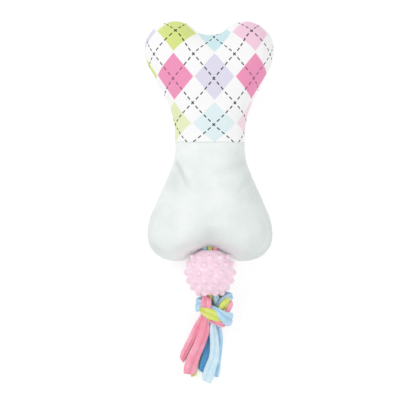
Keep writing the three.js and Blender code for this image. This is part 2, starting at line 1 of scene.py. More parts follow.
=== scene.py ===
# %% [markdown]
# A squeaky plush bone for a dog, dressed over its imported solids.
# The real toy is sewn from printed cotton and plush, stuffed with fibre round a squeaker, and ends in
# fleece strands that carry a spiky rubber ball and a knot. The frame below holds the plain solids and
# their joints. Each piece made here stands for some of those solids and moves with their bodies.
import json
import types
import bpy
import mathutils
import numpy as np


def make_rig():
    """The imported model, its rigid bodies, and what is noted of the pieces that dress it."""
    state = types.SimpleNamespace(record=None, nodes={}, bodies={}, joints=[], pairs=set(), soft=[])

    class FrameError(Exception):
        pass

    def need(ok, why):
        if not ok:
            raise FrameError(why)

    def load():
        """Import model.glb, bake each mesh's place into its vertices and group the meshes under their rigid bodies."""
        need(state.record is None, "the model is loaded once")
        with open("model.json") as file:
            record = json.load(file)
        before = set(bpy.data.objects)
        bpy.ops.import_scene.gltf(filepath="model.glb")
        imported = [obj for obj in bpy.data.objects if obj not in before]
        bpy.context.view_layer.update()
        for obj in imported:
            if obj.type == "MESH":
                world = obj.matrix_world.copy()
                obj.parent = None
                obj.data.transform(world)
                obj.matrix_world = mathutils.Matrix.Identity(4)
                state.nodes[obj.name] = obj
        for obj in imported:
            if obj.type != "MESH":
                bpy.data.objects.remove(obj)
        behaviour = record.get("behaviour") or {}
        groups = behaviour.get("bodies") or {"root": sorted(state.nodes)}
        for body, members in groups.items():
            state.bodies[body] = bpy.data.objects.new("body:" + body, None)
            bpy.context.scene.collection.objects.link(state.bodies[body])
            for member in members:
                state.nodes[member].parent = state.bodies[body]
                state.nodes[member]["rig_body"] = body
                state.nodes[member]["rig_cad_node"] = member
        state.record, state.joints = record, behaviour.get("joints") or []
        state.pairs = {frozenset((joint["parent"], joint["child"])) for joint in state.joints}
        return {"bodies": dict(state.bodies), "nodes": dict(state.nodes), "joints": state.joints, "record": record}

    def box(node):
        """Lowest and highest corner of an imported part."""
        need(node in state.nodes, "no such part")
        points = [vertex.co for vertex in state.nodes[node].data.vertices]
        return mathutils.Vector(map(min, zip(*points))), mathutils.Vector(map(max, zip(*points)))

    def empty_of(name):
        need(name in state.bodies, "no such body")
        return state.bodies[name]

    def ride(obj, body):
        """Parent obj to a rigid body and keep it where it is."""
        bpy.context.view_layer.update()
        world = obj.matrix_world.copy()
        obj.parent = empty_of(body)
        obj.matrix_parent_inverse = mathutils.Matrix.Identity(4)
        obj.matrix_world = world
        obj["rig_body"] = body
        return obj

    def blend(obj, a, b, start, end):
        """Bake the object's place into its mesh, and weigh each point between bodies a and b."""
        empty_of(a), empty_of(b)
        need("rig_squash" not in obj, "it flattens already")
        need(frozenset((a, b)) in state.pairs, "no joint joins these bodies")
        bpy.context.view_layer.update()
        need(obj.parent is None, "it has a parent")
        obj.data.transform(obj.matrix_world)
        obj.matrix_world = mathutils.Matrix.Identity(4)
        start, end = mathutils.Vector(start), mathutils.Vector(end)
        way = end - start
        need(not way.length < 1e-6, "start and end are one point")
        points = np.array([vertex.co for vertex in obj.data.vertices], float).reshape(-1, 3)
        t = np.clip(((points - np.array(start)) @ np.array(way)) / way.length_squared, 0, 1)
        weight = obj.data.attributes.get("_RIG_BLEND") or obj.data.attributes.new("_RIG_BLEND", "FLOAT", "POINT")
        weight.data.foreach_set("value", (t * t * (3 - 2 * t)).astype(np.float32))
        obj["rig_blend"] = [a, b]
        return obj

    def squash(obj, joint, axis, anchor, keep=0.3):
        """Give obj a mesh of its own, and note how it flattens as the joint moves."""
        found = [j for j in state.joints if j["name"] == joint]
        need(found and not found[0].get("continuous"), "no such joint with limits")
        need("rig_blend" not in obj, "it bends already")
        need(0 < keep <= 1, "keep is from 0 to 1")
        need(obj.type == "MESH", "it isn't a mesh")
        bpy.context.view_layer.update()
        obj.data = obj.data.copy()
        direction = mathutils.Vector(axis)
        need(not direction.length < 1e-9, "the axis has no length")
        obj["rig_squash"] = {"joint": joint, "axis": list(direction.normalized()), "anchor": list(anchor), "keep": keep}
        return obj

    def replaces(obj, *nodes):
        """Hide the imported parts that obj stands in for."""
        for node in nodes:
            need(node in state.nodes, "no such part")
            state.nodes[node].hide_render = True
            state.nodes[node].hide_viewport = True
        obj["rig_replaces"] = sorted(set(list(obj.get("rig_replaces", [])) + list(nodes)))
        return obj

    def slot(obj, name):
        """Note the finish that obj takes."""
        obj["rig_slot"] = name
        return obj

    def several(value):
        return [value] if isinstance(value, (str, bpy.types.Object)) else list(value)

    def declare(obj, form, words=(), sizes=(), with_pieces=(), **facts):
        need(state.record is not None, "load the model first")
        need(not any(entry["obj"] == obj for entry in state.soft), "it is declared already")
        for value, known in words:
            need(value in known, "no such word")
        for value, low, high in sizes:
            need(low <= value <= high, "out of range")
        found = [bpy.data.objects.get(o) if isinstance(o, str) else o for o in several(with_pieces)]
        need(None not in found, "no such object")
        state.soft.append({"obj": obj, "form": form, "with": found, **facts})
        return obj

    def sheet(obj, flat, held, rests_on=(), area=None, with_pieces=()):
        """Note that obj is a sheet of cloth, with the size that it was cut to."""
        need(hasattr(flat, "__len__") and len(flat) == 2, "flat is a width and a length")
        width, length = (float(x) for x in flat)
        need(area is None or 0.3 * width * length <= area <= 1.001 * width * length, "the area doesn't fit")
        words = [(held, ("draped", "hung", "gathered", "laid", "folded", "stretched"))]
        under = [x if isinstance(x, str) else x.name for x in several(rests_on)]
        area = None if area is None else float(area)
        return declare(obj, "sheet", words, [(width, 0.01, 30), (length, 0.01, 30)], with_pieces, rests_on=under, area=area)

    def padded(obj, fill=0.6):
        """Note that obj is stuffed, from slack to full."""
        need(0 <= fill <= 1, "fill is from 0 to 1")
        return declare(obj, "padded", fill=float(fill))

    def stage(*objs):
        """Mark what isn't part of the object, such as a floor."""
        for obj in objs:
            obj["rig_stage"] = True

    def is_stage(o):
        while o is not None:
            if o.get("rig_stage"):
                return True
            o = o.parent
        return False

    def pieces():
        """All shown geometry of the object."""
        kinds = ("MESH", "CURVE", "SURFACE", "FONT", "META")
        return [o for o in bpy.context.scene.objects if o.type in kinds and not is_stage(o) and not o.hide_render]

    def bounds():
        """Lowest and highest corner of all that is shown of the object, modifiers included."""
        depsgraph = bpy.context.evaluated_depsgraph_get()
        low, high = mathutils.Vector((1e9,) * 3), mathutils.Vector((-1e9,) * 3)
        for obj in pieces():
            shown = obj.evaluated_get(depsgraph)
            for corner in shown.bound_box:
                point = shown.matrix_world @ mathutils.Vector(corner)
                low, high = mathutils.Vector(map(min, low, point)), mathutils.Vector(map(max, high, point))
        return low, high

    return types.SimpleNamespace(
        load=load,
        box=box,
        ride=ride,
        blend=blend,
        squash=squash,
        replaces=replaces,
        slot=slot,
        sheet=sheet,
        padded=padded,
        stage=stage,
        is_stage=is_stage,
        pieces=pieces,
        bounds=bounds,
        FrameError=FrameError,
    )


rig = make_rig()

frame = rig.load()

import json
import math

import bmesh
import bpy
import numpy as np
from mathutils import Vector
from mathutils.geometry import delaunay_2d_cdt
from mathutils.kdtree import KDTree

MM = 0.001
scene = bpy.context.scene
cad_box = [list(corner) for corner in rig.bounds()]
joints = {joint["name"]: joint for joint in frame["joints"]}
joint_at = {name: np.array(joint["pos_m"]) / MM for name, joint in joints.items() if "pos_m" in joint}


def add_object(name, data):
    """A new object in the scene."""
    made = bpy.data.objects.new(name, data)
    scene.collection.objects.link(made)
    return made


print("bodies", sorted(frame["bodies"]), "box", cad_box)

# %% [markdown]
# The picture was taken from straight above, with a long lens that keeps the sides parallel.
# An orthographic camera could do that too, but a perspective one also works when it moves round
# the toy. So the camera hangs high over the side seam, and its lens sets what the picture spans.

# %% Camera
SEAM_HEIGHT = 22
PICTURE_SPAN = 333.3
PICTURE_MIDDLE = (-8.33, -49.27)
LENS = 180
SENSOR = 36

camera_data = bpy.data.cameras.new("camera")
camera_data.lens = LENS
camera_data.sensor_width = SENSOR
camera = add_object("camera", camera_data)
camera_height = SEAM_HEIGHT + PICTURE_SPAN * LENS / SENSOR
camera.location = Vector((*PICTURE_MIDDLE, camera_height)) * MM
scene.camera = camera
scene.view_settings.view_transform = "Standard"
print("camera", round(camera_height), "mm above the floor")

# %% [markdown]
# Shader maths reads best as plain arithmetic. A small class wraps a node's output and turns each
# operator into a Math node, and a second one makes every other node from its type, its settings
# and its inputs. A finish is then a few lines that say what the cloth or the rubber does.

# %% Shader maths
class Value:
    """One output of a node. Arithmetic on it adds Math nodes."""

    def __init__(self, finish, socket):
        self.finish = finish
        self.socket = socket

    def math(self, operation, *terms):
        return self.finish.node("ShaderNodeMath", {"operation": operation}, dict(enumerate(terms)))

    def __add__(self, other):
        return self.math("ADD", self, other)

    def __sub__(self, other):
        return self.math("SUBTRACT", self, other)

    def __rsub__(self, other):
        return self.math("SUBTRACT", other, self)

    def __mul__(self, other):
        return self.math("MULTIPLY", self, other)

    def __truediv__(self, other):
        return self.math("DIVIDE", self, other)

    def __mod__(self, other):
        return self.math("FLOORED_MODULO", self, other)

    def __abs__(self):
        return self.math("ABSOLUTE", self)

    def __lt__(self, other):
        return self.math("LESS_THAN", self, other)

    def __gt__(self, other):
        return self.math("GREATER_THAN", self, other)

    def __round__(self):
        return self.math("ROUND", self)

    def sine(self):
        return self.math("SINE", self)


class Finish:
    """A material or a world under construction."""

    def __init__(self, name, kind=bpy.data.materials):
        self.material = kind.new(name)
        self.material.use_nodes = True
        self.tree = self.material.node_tree
        self.tree.nodes.clear()

    def node(self, kind, settings=None, inputs=None, output=0):
        made = self.tree.nodes.new(kind)
        for key, setting in (settings or {}).items():
            if key == "stops":
                set_stops(made.color_ramp, setting)
            else:
                setattr(made, key, setting)
        for key, term in (inputs or {}).items():
            if isinstance(term, Value):
                self.tree.links.new(term.socket, made.inputs[key])
            else:
                made.inputs[key].default_value = term
        return Value(self, made.outputs[output]) if len(made.outputs) else None

    def seen_directly(self):
        """1 for what the camera sees, also in gloss and through glass."""
        kinds = ("Is Camera Ray", "Is Glossy Ray", "Is Transmission Ray")
        direct, glossy, glassy = [self.node("ShaderNodeLightPath", output=kind) for kind in kinds]
        return direct.math("MAXIMUM", direct, glossy.math("MAXIMUM", glossy, glassy))

    def mix(self, share, low, high):
        inputs = {0: share, 6: low, 7: high}
        return self.node("ShaderNodeMix", {"data_type": "RGBA"}, inputs, output=2)

    def ease(self, value, low, high, to_low=0.0, to_high=1.0):
        inputs = {0: value, 1: low, 2: high, 3: to_low, 4: to_high}
        return self.node("ShaderNodeMapRange", {"interpolation_type": "SMOOTHSTEP"}, inputs)

    def place(self):
        return self.node("ShaderNodeTexCoord", output="Object")

    def noise(self, size, detail=2.0, rough=0.5):
        inputs = {"Vector": self.place(), "Scale": 1 / size, "Detail": detail, "Roughness": rough}
        return self.node("ShaderNodeTexNoise", None, inputs)

    def pattern(self):
        where = self.node("ShaderNodeUVMap", {"uv_map": "pattern"})
        across = self.node("ShaderNodeSeparateXYZ", None, {0: where}, output="X")
        along = self.node("ShaderNodeSeparateXYZ", None, {0: where}, output="Y")
        return across, along

    def bump(self, height, strength, depth):
        inputs = {"Height": height, "Strength": strength, "Distance": depth}
        return self.node("ShaderNodeBump", None, inputs)

    def surface(self, **sockets):
        inputs = {name.replace("_", " "): term for name, term in sockets.items()}
        shader = self.node("ShaderNodeBsdfPrincipled", None, inputs)
        self.node("ShaderNodeOutputMaterial", None, {"Surface": shader})
        return self.material


def set_stops(ramp, stops):
    """Colours of a ramp, each holding until the next stop."""
    ramp.interpolation = "CONSTANT"
    for k, (position, colour) in enumerate(stops):
        stop = ramp.elements[k] if k < 2 else ramp.elements.new(position)
        stop.position = position
        stop.color = colour


def tint(red, green, blue):
    """A screen colour of 0 to 255 as the linear colour that a shader takes."""
    shares = [c / 255 for c in (red, green, blue)]
    return (*[c / 12.92 if c <= 0.04045 else ((c + 0.055) / 1.055) ** 2.4 for c in shares], 1.0)


print("a screen grey of 128 is", round(tint(128, 128, 128)[0], 3), "in a shader")

# %% [markdown]
# The toy was shot in even studio light on white paper. A pale floor with a glow of its own reads as
# white and still keeps a faint shadow. The glow also lights the flanks from below, and it fades where
# the toy closes over the paper, as in the crack beside the ball. One lamp on the left models the
# padding, one on the right lifts its shade, and the sky fills the rest.

# %% Floor and light
FLOOR_SIDE = 8
FLOOR_DROP = 0.0003
FLOOR_SHADE = 0.35
FLOOR_GLOW = 0.72
FLOOR_BOUNCE = 0.7
CRACK_REACH = 0.03
CRACK_SAMPLES = 16
CLOSED_BELOW = 0.08
OPEN_ABOVE = 0.4
SKY_STRENGTH = 0.7
# Name, place in metres, side of the square and power
LAMPS = [
    ("key", (-0.8, 0.5, 1.2), 0.5, 5.5),
    ("fill", (0.8, -0.6, 1.2), 0.8, 3.3),
]

paper = Finish("white_paper")
crack = {"Distance": CRACK_REACH}
openness = paper.node("ShaderNodeAmbientOcclusion", {"samples": CRACK_SAMPLES}, crack, output="AO")
floor_level = paper.seen_directly() * (FLOOR_GLOW - FLOOR_BOUNCE) + FLOOR_BOUNCE
unshaded = paper.ease(openness, CLOSED_BELOW, OPEN_ABOVE) * floor_level
glow_colour = paper.mix(unshaded, (0, 0, 0, 1), (1, 1, 1, 1))
glow = paper.node("ShaderNodeEmission", None, {"Color": glow_colour, "Strength": 1.0})
matt = paper.node("ShaderNodeBsdfDiffuse", None, {"Color": (FLOOR_SHADE, FLOOR_SHADE, FLOOR_SHADE, 1)})
both = paper.node("ShaderNodeAddShader", None, {0: matt, 1: glow})
paper.node("ShaderNodeOutputMaterial", None, {"Surface": both})

half = FLOOR_SIDE / 2
floor_mesh = bpy.data.meshes.new("floor")
floor_corners = [(-half, -half, 0), (half, -half, 0), (half, half, 0), (-half, half, 0)]
floor_mesh.from_pydata(floor_corners, [], [(0, 1, 2, 3)])
floor_mesh.materials.append(paper.material)
floor = add_object("floor", floor_mesh)
floor.location.z = -FLOOR_DROP
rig.stage(floor)

sky = Finish("studio", bpy.data.worlds)
sky_level = sky.seen_directly() * (1 - SKY_STRENGTH) + SKY_STRENGTH
background = sky.node("ShaderNodeBackground", None, {"Color": (1, 1, 1, 1), "Strength": sky_level})
sky.node("ShaderNodeOutputWorld", None, {"Surface": background})
scene.world = sky.material

for lamp_name, lamp_place, lamp_side, lamp_power in LAMPS:
    lamp_data = bpy.data.lights.new(lamp_name, "AREA")
    lamp_data.shape = "SQUARE"
    lamp_data.size = lamp_side
    lamp_data.energy = lamp_power
    lamp = add_object(lamp_name, lamp_data)
    lamp.location = lamp_place
    lamp.rotation_euler = (-Vector(lamp_place)).to_track_quat("-Z", "Y").to_euler()
print("lamps", [lamp[0] for lamp in LAMPS])

# %% [markdown]
# The bone's edge is a row of arcs: the notch round the ball, a lower lobe with its flatter side, a hollow
# on each side of the waist, an upper lobe and the shallow upper notch. Two straight flanks touch their
# arcs, so the edge has no corner. Moving every arc outwards gives the larger pattern to cut.

# %% The bone's edge
BONE_LENGTH = 200
UPPER_LOBE_RADIUS = 24.2
UPPER_LOBE_SPREAD = 58.6
UPPER_SIDE_RADIUS = 38
UPPER_NOTCH_DEPTH = 11
LOWER_LOBE_RADIUS = 21.5
LOWER_LOBE_SPREAD = 62
LOWER_SIDE_RADIUS = 50
WAIST_WIDTH = 57.4
UPPER_HOLLOW_RADIUS = 80
LOWER_HOLLOW_RADIUS = 60
CROSS_SEAM = -1.5
BALL = joint_at["ball_spin"]
BALL_RADIUS = 20
BALL_REACH = 22
NOTCH_GAP = 0.4
NOTCH_RADIUS = BALL_REACH + NOTCH_GAP
EDGE_PITCH = 3.0
# Points are counted on arcs this much larger, half-way to the pattern that is cut
COUNT_GROWTH = 4
HALF_TURN = math.pi


def heading(start, end):
    """The direction from one place to another, as an angle."""
    return math.atan2(end[1] - start[1], end[0] - start[0])


def flank_lean(side, side_radius, hollow, hollow_radius):
    """The turn between the line of two centres and the straight flank's normal."""
    return math.acos((side_radius + hollow_radius) / math.dist(side, hollow))


upper_lobe = (UPPER_LOBE_SPREAD / 2, BONE_LENGTH / 2 - UPPER_LOBE_RADIUS)
lower_lobe = (LOWER_LOBE_SPREAD / 2, LOWER_LOBE_RADIUS - BONE_LENGTH / 2)
upper_side = (upper_lobe[0] + UPPER_LOBE_RADIUS - UPPER_SIDE_RADIUS, upper_lobe[1])
lower_side = (lower_lobe[0] + LOWER_LOBE_RADIUS - LOWER_SIDE_RADIUS, lower_lobe[1])
upper_hollow = (WAIST_WIDTH / 2 + UPPER_HOLLOW_RADIUS, CROSS_SEAM)
lower_hollow = (WAIST_WIDTH / 2 + LOWER_HOLLOW_RADIUS, CROSS_SEAM)
notch_floor = UPPER_LOBE_RADIUS - UPPER_NOTCH_DEPTH
upper_notch_radius = upper_lobe[0] ** 2 + notch_floor**2 - UPPER_LOBE_RADIUS**2
upper_notch_radius /= 2 * UPPER_NOTCH_DEPTH
upper_notch = (0, upper_lobe[1] + notch_floor + upper_notch_radius)

notch_turn = heading(BALL, lower_lobe)
top_turn = heading(upper_lobe, upper_notch)
upper_turn = heading(upper_side, upper_hollow) + flank_lean(
    upper_side, UPPER_SIDE_RADIUS, upper_hollow, UPPER_HOLLOW_RADIUS
)
lower_turn = heading(lower_side, lower_hollow) - flank_lean(
    lower_side, LOWER_SIDE_RADIUS, lower_hollow, LOWER_HOLLOW_RADIUS
)
# Centre, radius, first and last turn, and 1 for a round arc or -1 for a hollow one
ARCS = [
    (BALL, NOTCH_RADIUS, HALF_TURN / 2, notch_turn, -1),
    (lower_lobe, LOWER_LOBE_RADIUS, notch_turn + HALF_TURN, 2 * HALF_TURN, 1),
    (lower_side, LOWER_SIDE_RADIUS, 0, lower_turn, 1),
    (lower_hollow, LOWER_HOLLOW_RADIUS, HALF_TURN + lower_turn, HALF_TURN, -1),
    (upper_hollow, UPPER_HOLLOW_RADIUS, HALF_TURN, HALF_TURN + upper_turn, -1),
    (upper_side, UPPER_SIDE_RADIUS, upper_turn, 0, 1),
    (upper_lobe, UPPER_LOBE_RADIUS, 0, top_turn, 1),
    (upper_notch, upper_notch_radius, top_turn - HALF_TURN, -HALF_TURN / 2, -1),
]


def bone_edge(grow):
    """Points of the edge moved outwards, anticlockwise from the lower notch, always equally many."""
    right = []
    for centre, radius, first, last, bulge in ARCS:
        count = max(2, round(abs(last - first) * (radius + COUNT_GROWTH) / EDGE_PITCH))
        turns = np.linspace(first, last, count + 1)
        reach = radius + bulge * grow
        arc = [(centre[0] + reach * math.cos(t), centre[1] + reach * math.sin(t)) for t in turns]
        if right and math.dist(right[-1], arc[0]) > EDGE_PITCH / 2:
            steps = round(math.dist(right[-1], arc[0]) / EDGE_PITCH)
            flank = np.linspace(right[-1], arc[0], steps + 1)[1:-1]
            right.extend(tuple(p) for p in flank)
        elif right:
            right.pop()
        right.extend(arc)
    return np.array(right + [(-x, y) for x, y in right[-2:0:-1]])


edge_goal = bone_edge(0)
lobe_gap = math.dist(BALL[:2], lower_lobe) - NOTCH_RADIUS - LOWER_LOBE_RADIUS
print("edge points", len(edge_goal), "notch touches the lobe within", round(lobe_gap, 4), "mm")

# %% [markdown]
# A stuffed toy starts as flat cloth. Two equal layers are cut larger than the finished outline,
# because the cloth will have to reach over the padding. The layers share the points of their edge,
# which is the side seam, and the cross seam between print and plush is a row of edges in both.
# A mesh of even triangles fills the pattern, which lets cloth bend the same way in all directions.

# %% Flat pattern
PATTERN_GROWTH = 8.0
CLOTH_PITCH = 3.0
EDGE_CLEAR = 0.6 * CLOTH_PITCH
SEAM_CLEAR = 0.45 * CLOTH_PITCH
MERGE_GAP = 1e-5
TOUCH = 1e-3


def inside(points, polygon):
    """Which points lie in the polygon, by counting the edges to their right."""
    x, y = points.T
    found = np.zeros(len(points), bool)
    for (xa, ya), (xb, yb) in zip(polygon, np.roll(polygon, 1, axis=0)):
        if ya == yb:
            continue
        crosses = (ya > y) != (yb > y)
        found ^= crosses & (x < (xb - xa) * (y - ya) / (yb - ya) + xa)
    return found


pattern_edge = bone_edge(PATTERN_GROWTH)
reach_x, reach_y = np.abs(pattern_edge).max(0)
rows = []
for k, y in enumerate(np.arange(-reach_y, reach_y, CLOTH_PITCH * math.sqrt(3) / 2)):
    x = np.arange(-reach_x, reach_x, CLOTH_PITCH) + (k % 2) * CLOTH_PITCH / 2
    rows.append(np.c_[x, np.full_like(x, y)])
fill_points = np.concatenate(rows)
fill_points = fill_points[inside(fill_points, pattern_edge)]
edge_distance = np.linalg.norm(fill_points[:, None] - pattern_edge[None], axis=2).min(1)
seam_distance = np.abs(fill_points[:, 1] - CROSS_SEAM)
fill_points = fill_points[(edge_distance > EDGE_CLEAR) & (seam_distance > SEAM_CLEAR)]

edge_count = len(pattern_edge)
seam_ends = np.flatnonzero(np.abs(pattern_edge[:, 1] - CROSS_SEAM) < TOUCH)
assert len(seam_ends) == 2
seam_reach = WAIST_WIDTH / 2 + PATTERN_GROWTH
seam_x = np.linspace(-seam_reach, seam_reach, 2 * round(seam_reach / CLOTH_PITCH) + 1)[1:-1]
seam_points = np.c_[seam_x, np.full_like(seam_x, CROSS_SEAM)]
right_end, left_end = sorted(seam_ends, key=lambda k: -pattern_edge[k, 0])
seam_row = [left_end, *range(edge_count, edge_count + len(seam_points)), right_end]
kept_edges = [(k, (k + 1) % edge_count) for k in range(edge_count)]
kept_edges += [(int(a), int(b)) for a, b in zip(seam_row, seam_row[1:])]
pattern_input = [Vector(p) for p in np.concatenate([pattern_edge, seam_points, fill_points])]
pattern_found = delaunay_2d_cdt(pattern_input, kept_edges, [list(range(edge_count))], 1, MERGE_GAP)
layer = np.array([p[:] for p in pattern_found[0]])
layer_faces = [tuple(f) for f in pattern_found[2]]
layer_count = len(layer)
print("pattern points", layer_count, "faces", len(layer_faces))

# %% [markdown]
# Blender's cloth with a pressure inside blows the two layers up, as stuffing does. It works on a toy
# ten times the size, where the solver's stiffness values feel right, and without gravity. The seam
# draws in by itself, and small puckers form round the lobes where the edge has cloth to spare.

# %% Stuff the bone
STUFF_SCALE = 0.01
STUFF_FRAMES = 40
STUFF_PRESSURE = 5.0
START_RISE = 2.5
START_ROLL = 20

to_edge = np.linalg.norm(layer[:, None] - pattern_edge[None], axis=2)
edge_of = to_edge.argmin(1)
edge_gap = to_edge.min(1)
on_edge = edge_gap < TOUCH
rise = START_RISE * np.sqrt(np.clip(edge_gap / START_ROLL, 0, 1))
inner = np.flatnonzero(~on_edge)
back_of = np.arange(layer_count)
back_of[inner] = layer_count + np.arange(len(inner))
flat = np.concatenate([layer, layer[inner]])
start = np.c_[flat, np.concatenate([rise, -rise[inner]])]
back_faces = [tuple(int(back_of[k]) for k in reversed(f)) for f in layer_faces]
bone_faces = layer_faces + back_faces


def shown_mesh(made):
    """A copy of an object's mesh with its modifiers applied."""
    return bpy.data.meshes.new_from_object(made.evaluated_get(bpy.context.evaluated_depsgraph_get()))


def points_of(mesh):
    """The places of a mesh's points."""
    found = np.empty(3 * len(mesh.vertices))
    mesh.vertices.foreach_get("co", found)
    return found.reshape(-1, 3)


def stuffed(points, faces):
    """The closed cloth after its pressure has settled, in millimetres."""
    mesh = bpy.data.meshes.new("stuffing")
    mesh.from_pydata((points * STUFF_SCALE).tolist(), [], faces)
    cloth_object = add_object("stuffing", mesh)
    cloth = cloth_object.modifiers.new("cloth", "CLOTH")
    settings = cloth.settings
    settings.quality = 6
    settings.mass = 0.3
    settings.tension_stiffness = 40
    settings.compression_stiffness = 40
    settings.shear_stiffness = 12
    settings.bending_stiffness = 3
    settings.tension_damping = 12
    settings.compression_damping = 12
    settings.air_damping = 4
    settings.use_pressure = True
    settings.uniform_pressure_force = STUFF_PRESSURE
    settings.effector_weights.gravity = 0
    cloth.collision_settings.use_collision = False
    cloth.point_cache.frame_end = STUFF_FRAMES
    for step in range(1, STUFF_FRAMES + 1):
        scene.frame_set(step)
    settled_mesh = shown_mesh(cloth_object)
    found = points_of(settled_mesh) / STUFF_SCALE
    bpy.data.objects.remove(cloth_object)
    bpy.data.meshes.remove(mesh)
    bpy.data.meshes.remove(settled_mesh)
    scene.frame_set(1)
    return found


puffed = stuffed(start, bone_faces)
print("stuffed box", puffed.min(0).round(1), puffed.max(0).round(1))

# %% [markdown]
# A finished seam doesn't keep to plain arcs. At the ball's mouth it hangs a little lower, the lower lobes
# press on the ball and follow it further round, one shoulder is fuller than the other, and stuffing
# pushes the waist out. Those moves give each point of the edge its goal. A search tree of the goals
# then tells how far inside the edge any other point lies.

# %% Where the seam belongs
NOTCH_DIP = 2.2
NOTCH_MARGIN = 0.5
MOUTH_FADE = (math.radians(36), math.radians(46))
PRESSED_TO = math.radians(61)
PRESSED_STEPS = 5
PRESSED_POINTS = [(21.0, -99.6), (23.4, -100.2), (27.0, -100.4), (31.0, -100.4)]
PRESSED_LAST = math.radians(-72)
LEFT_SHOULDER = 1.3
SHOULDER_ACROSS = (25, 50)
SHOULDER_ALONG = (50, 78)
WAIST_EASE = 0.7
WAIST_REACH = 22
EDGE_PARTS = 6
EDGE_PASSES = 6
EDGE_NEAR = 2


def ease(x, low, high):
    """0 below low, 1 above high and a smooth step between."""
    t = np.clip((x - low) / (high - low), 0, 1)
    return t * t * (3 - 2 * t)


def bell(x, width):
    """1 at zero, fading to both sides within about the width."""
    return np.exp(-((x / width) ** 2))


def unit(ways):
    """Directions made one long."""
    return ways / np.linalg.norm(ways, axis=1)[:, None]


def run_along(line):
    """How far along a line each of its points lies."""
    return np.r_[0, np.cumsum(np.linalg.norm(np.diff(line, axis=0), axis=1))]


def smooth_ring(ring, passes):
    """A closed ring whose points are drawn towards their neighbours, pass after pass."""
    for _ in range(passes):
        ring = (np.roll(ring, 1, axis=0) + 2 * ring + np.roll(ring, -1, axis=0)) / 4
    return ring


# Between the spikes and the mouth there is room for the cloth to hang lower
from_ball = edge_goal - np.array(BALL[:2])
polar = np.arctan2(np.abs(from_ball[:, 0]), from_ball[:, 1])
ball_gap = np.linalg.norm(from_ball, axis=1)
dip = NOTCH_DIP * (1 - ease(polar, *MOUTH_FADE)) * (ball_gap < NOTCH_RADIUS + NOTCH_MARGIN)
seam_goal = edge_goal - from_ball / ball_gap[:, None] * dip[:, None]

# The lobes press on the ball and follow it further round than their plain arcs do
pressed_first = notch_turn - HALF_TURN
edge_side = np.sign(edge_goal[:, 0])
from_lobe = np.c_[np.abs(edge_goal[:, 0]), edge_goal[:, 1]] - lower_lobe
lobe_turn = np.arctan2(from_lobe[:, 1], from_lobe[:, 0])
on_lobe = np.abs(np.hypot(*from_lobe.T) - LOWER_LOBE_RADIUS) < TOUCH
on_lobe &= (lobe_turn > pressed_first) & (lobe_turn < PRESSED_LAST)
pressed_turns = np.linspace(HALF_TURN / 2 - notch_turn, PRESSED_TO, PRESSED_STEPS)
pressed_line = np.concatenate([
    BALL[:2] + NOTCH_RADIUS * np.c_[np.sin(pressed_turns), np.cos(pressed_turns)],
    PRESSED_POINTS,
    lower_lobe + LOWER_LOBE_RADIUS * np.array([(math.cos(PRESSED_LAST), math.sin(PRESSED_LAST))]),
])
pressed_run = run_along(pressed_line)
lobe_run = (lobe_turn[on_lobe] - pressed_first) / (PRESSED_LAST - pressed_first) * pressed_run[-1]
seam_goal[on_lobe, 0] = edge_side[on_lobe] * np.interp(lobe_run, pressed_run, pressed_line[:, 0])
seam_goal[on_lobe, 1] = np.interp(lobe_run, pressed_run, pressed_line[:, 1])

# One shoulder is a little fuller than the other, and stuffing pushes the waist out
shoulder = ease(-edge_goal[:, 0], *SHOULDER_ACROSS) * ease(edge_goal[:, 1], *SHOULDER_ALONG)
seam_goal[:, 0] -= LEFT_SHOULDER * shoulder
seam_goal[:, 0] += WAIST_EASE * edge_side * bell(edge_goal[:, 1] - CROSS_SEAM, WAIST_REACH)

edge_steps = zip(seam_goal, np.roll(seam_goal, -1, axis=0))
ring_fine = np.concatenate([np.linspace(a, b, EDGE_PARTS, endpoint=False) for a, b in edge_steps])
ring_way = unit(np.roll(ring_fine, -1, axis=0) - np.roll(ring_fine, 1, axis=0))
ring_out = smooth_ring(np.c_[ring_way[:, 1], -ring_way[:, 0]], EDGE_PASSES)
ring_tree = KDTree(len(ring_fine))
for k, (x, y) in enumerate(ring_fine):
    ring_tree.insert((x, y, 0), k)
ring_tree.balance()


def from_edge(points):
    """How far inside the bone's edge points lie in the plane, and the edge's outward way beside them."""
    nearest = np.array([ring_tree.find((x, y, 0))[1] for x, y in points[:, :2]])
    out = ring_out[nearest]
    direct = np.linalg.norm(points[:, :2] - ring_fine[nearest], axis=1)
    square = ((ring_fine[nearest] - points[:, :2]) * out).sum(1)
    return np.where(direct < EDGE_NEAR, np.maximum(square, 0), direct), out


print("seam moved by up to", np.linalg.norm(seam_goal - edge_goal, axis=1).max().round(1), "mm")

# %% [markdown]
# The stuffed cloth comes out close to that goal, but not on it, and it is as round as a balloon. Fibre
# packs flatter than air. So a thin-plate spline first carries the drawn-in seam to its goal and bends
# everything between smoothly. Then the heights move part of the way to a pillow's, which rolls over its
# edge and lies flat between. The puckers stay, and the back is pressed flat on the floor.

# %% Fit the bone to its frame
SEAM_PASSES = 4
SPLINE_GIVE = 1e-3
TINY = 1e-9
LOBE_DEPTH = 22.5
WAIST_DEPTH = 19.0
BACK_DEPTH = 22.6
EDGE_ROLL = 20
PILLOW_SHARE = 0.7
PILLOW_INSET = (3, 16)
FLOOR_EASE = 0.5
WAIST_SHARE = 0.6
WAIST_BAND = 14
WAIST_INSET = (5, 12)
WAIST_PASSES = 40
STRAY_REACH = 18


def spline_kernel(a, b):
    squared = ((a[:, None] - b[None]) ** 2).sum(2)
    return squared * np.log(squared + TINY)


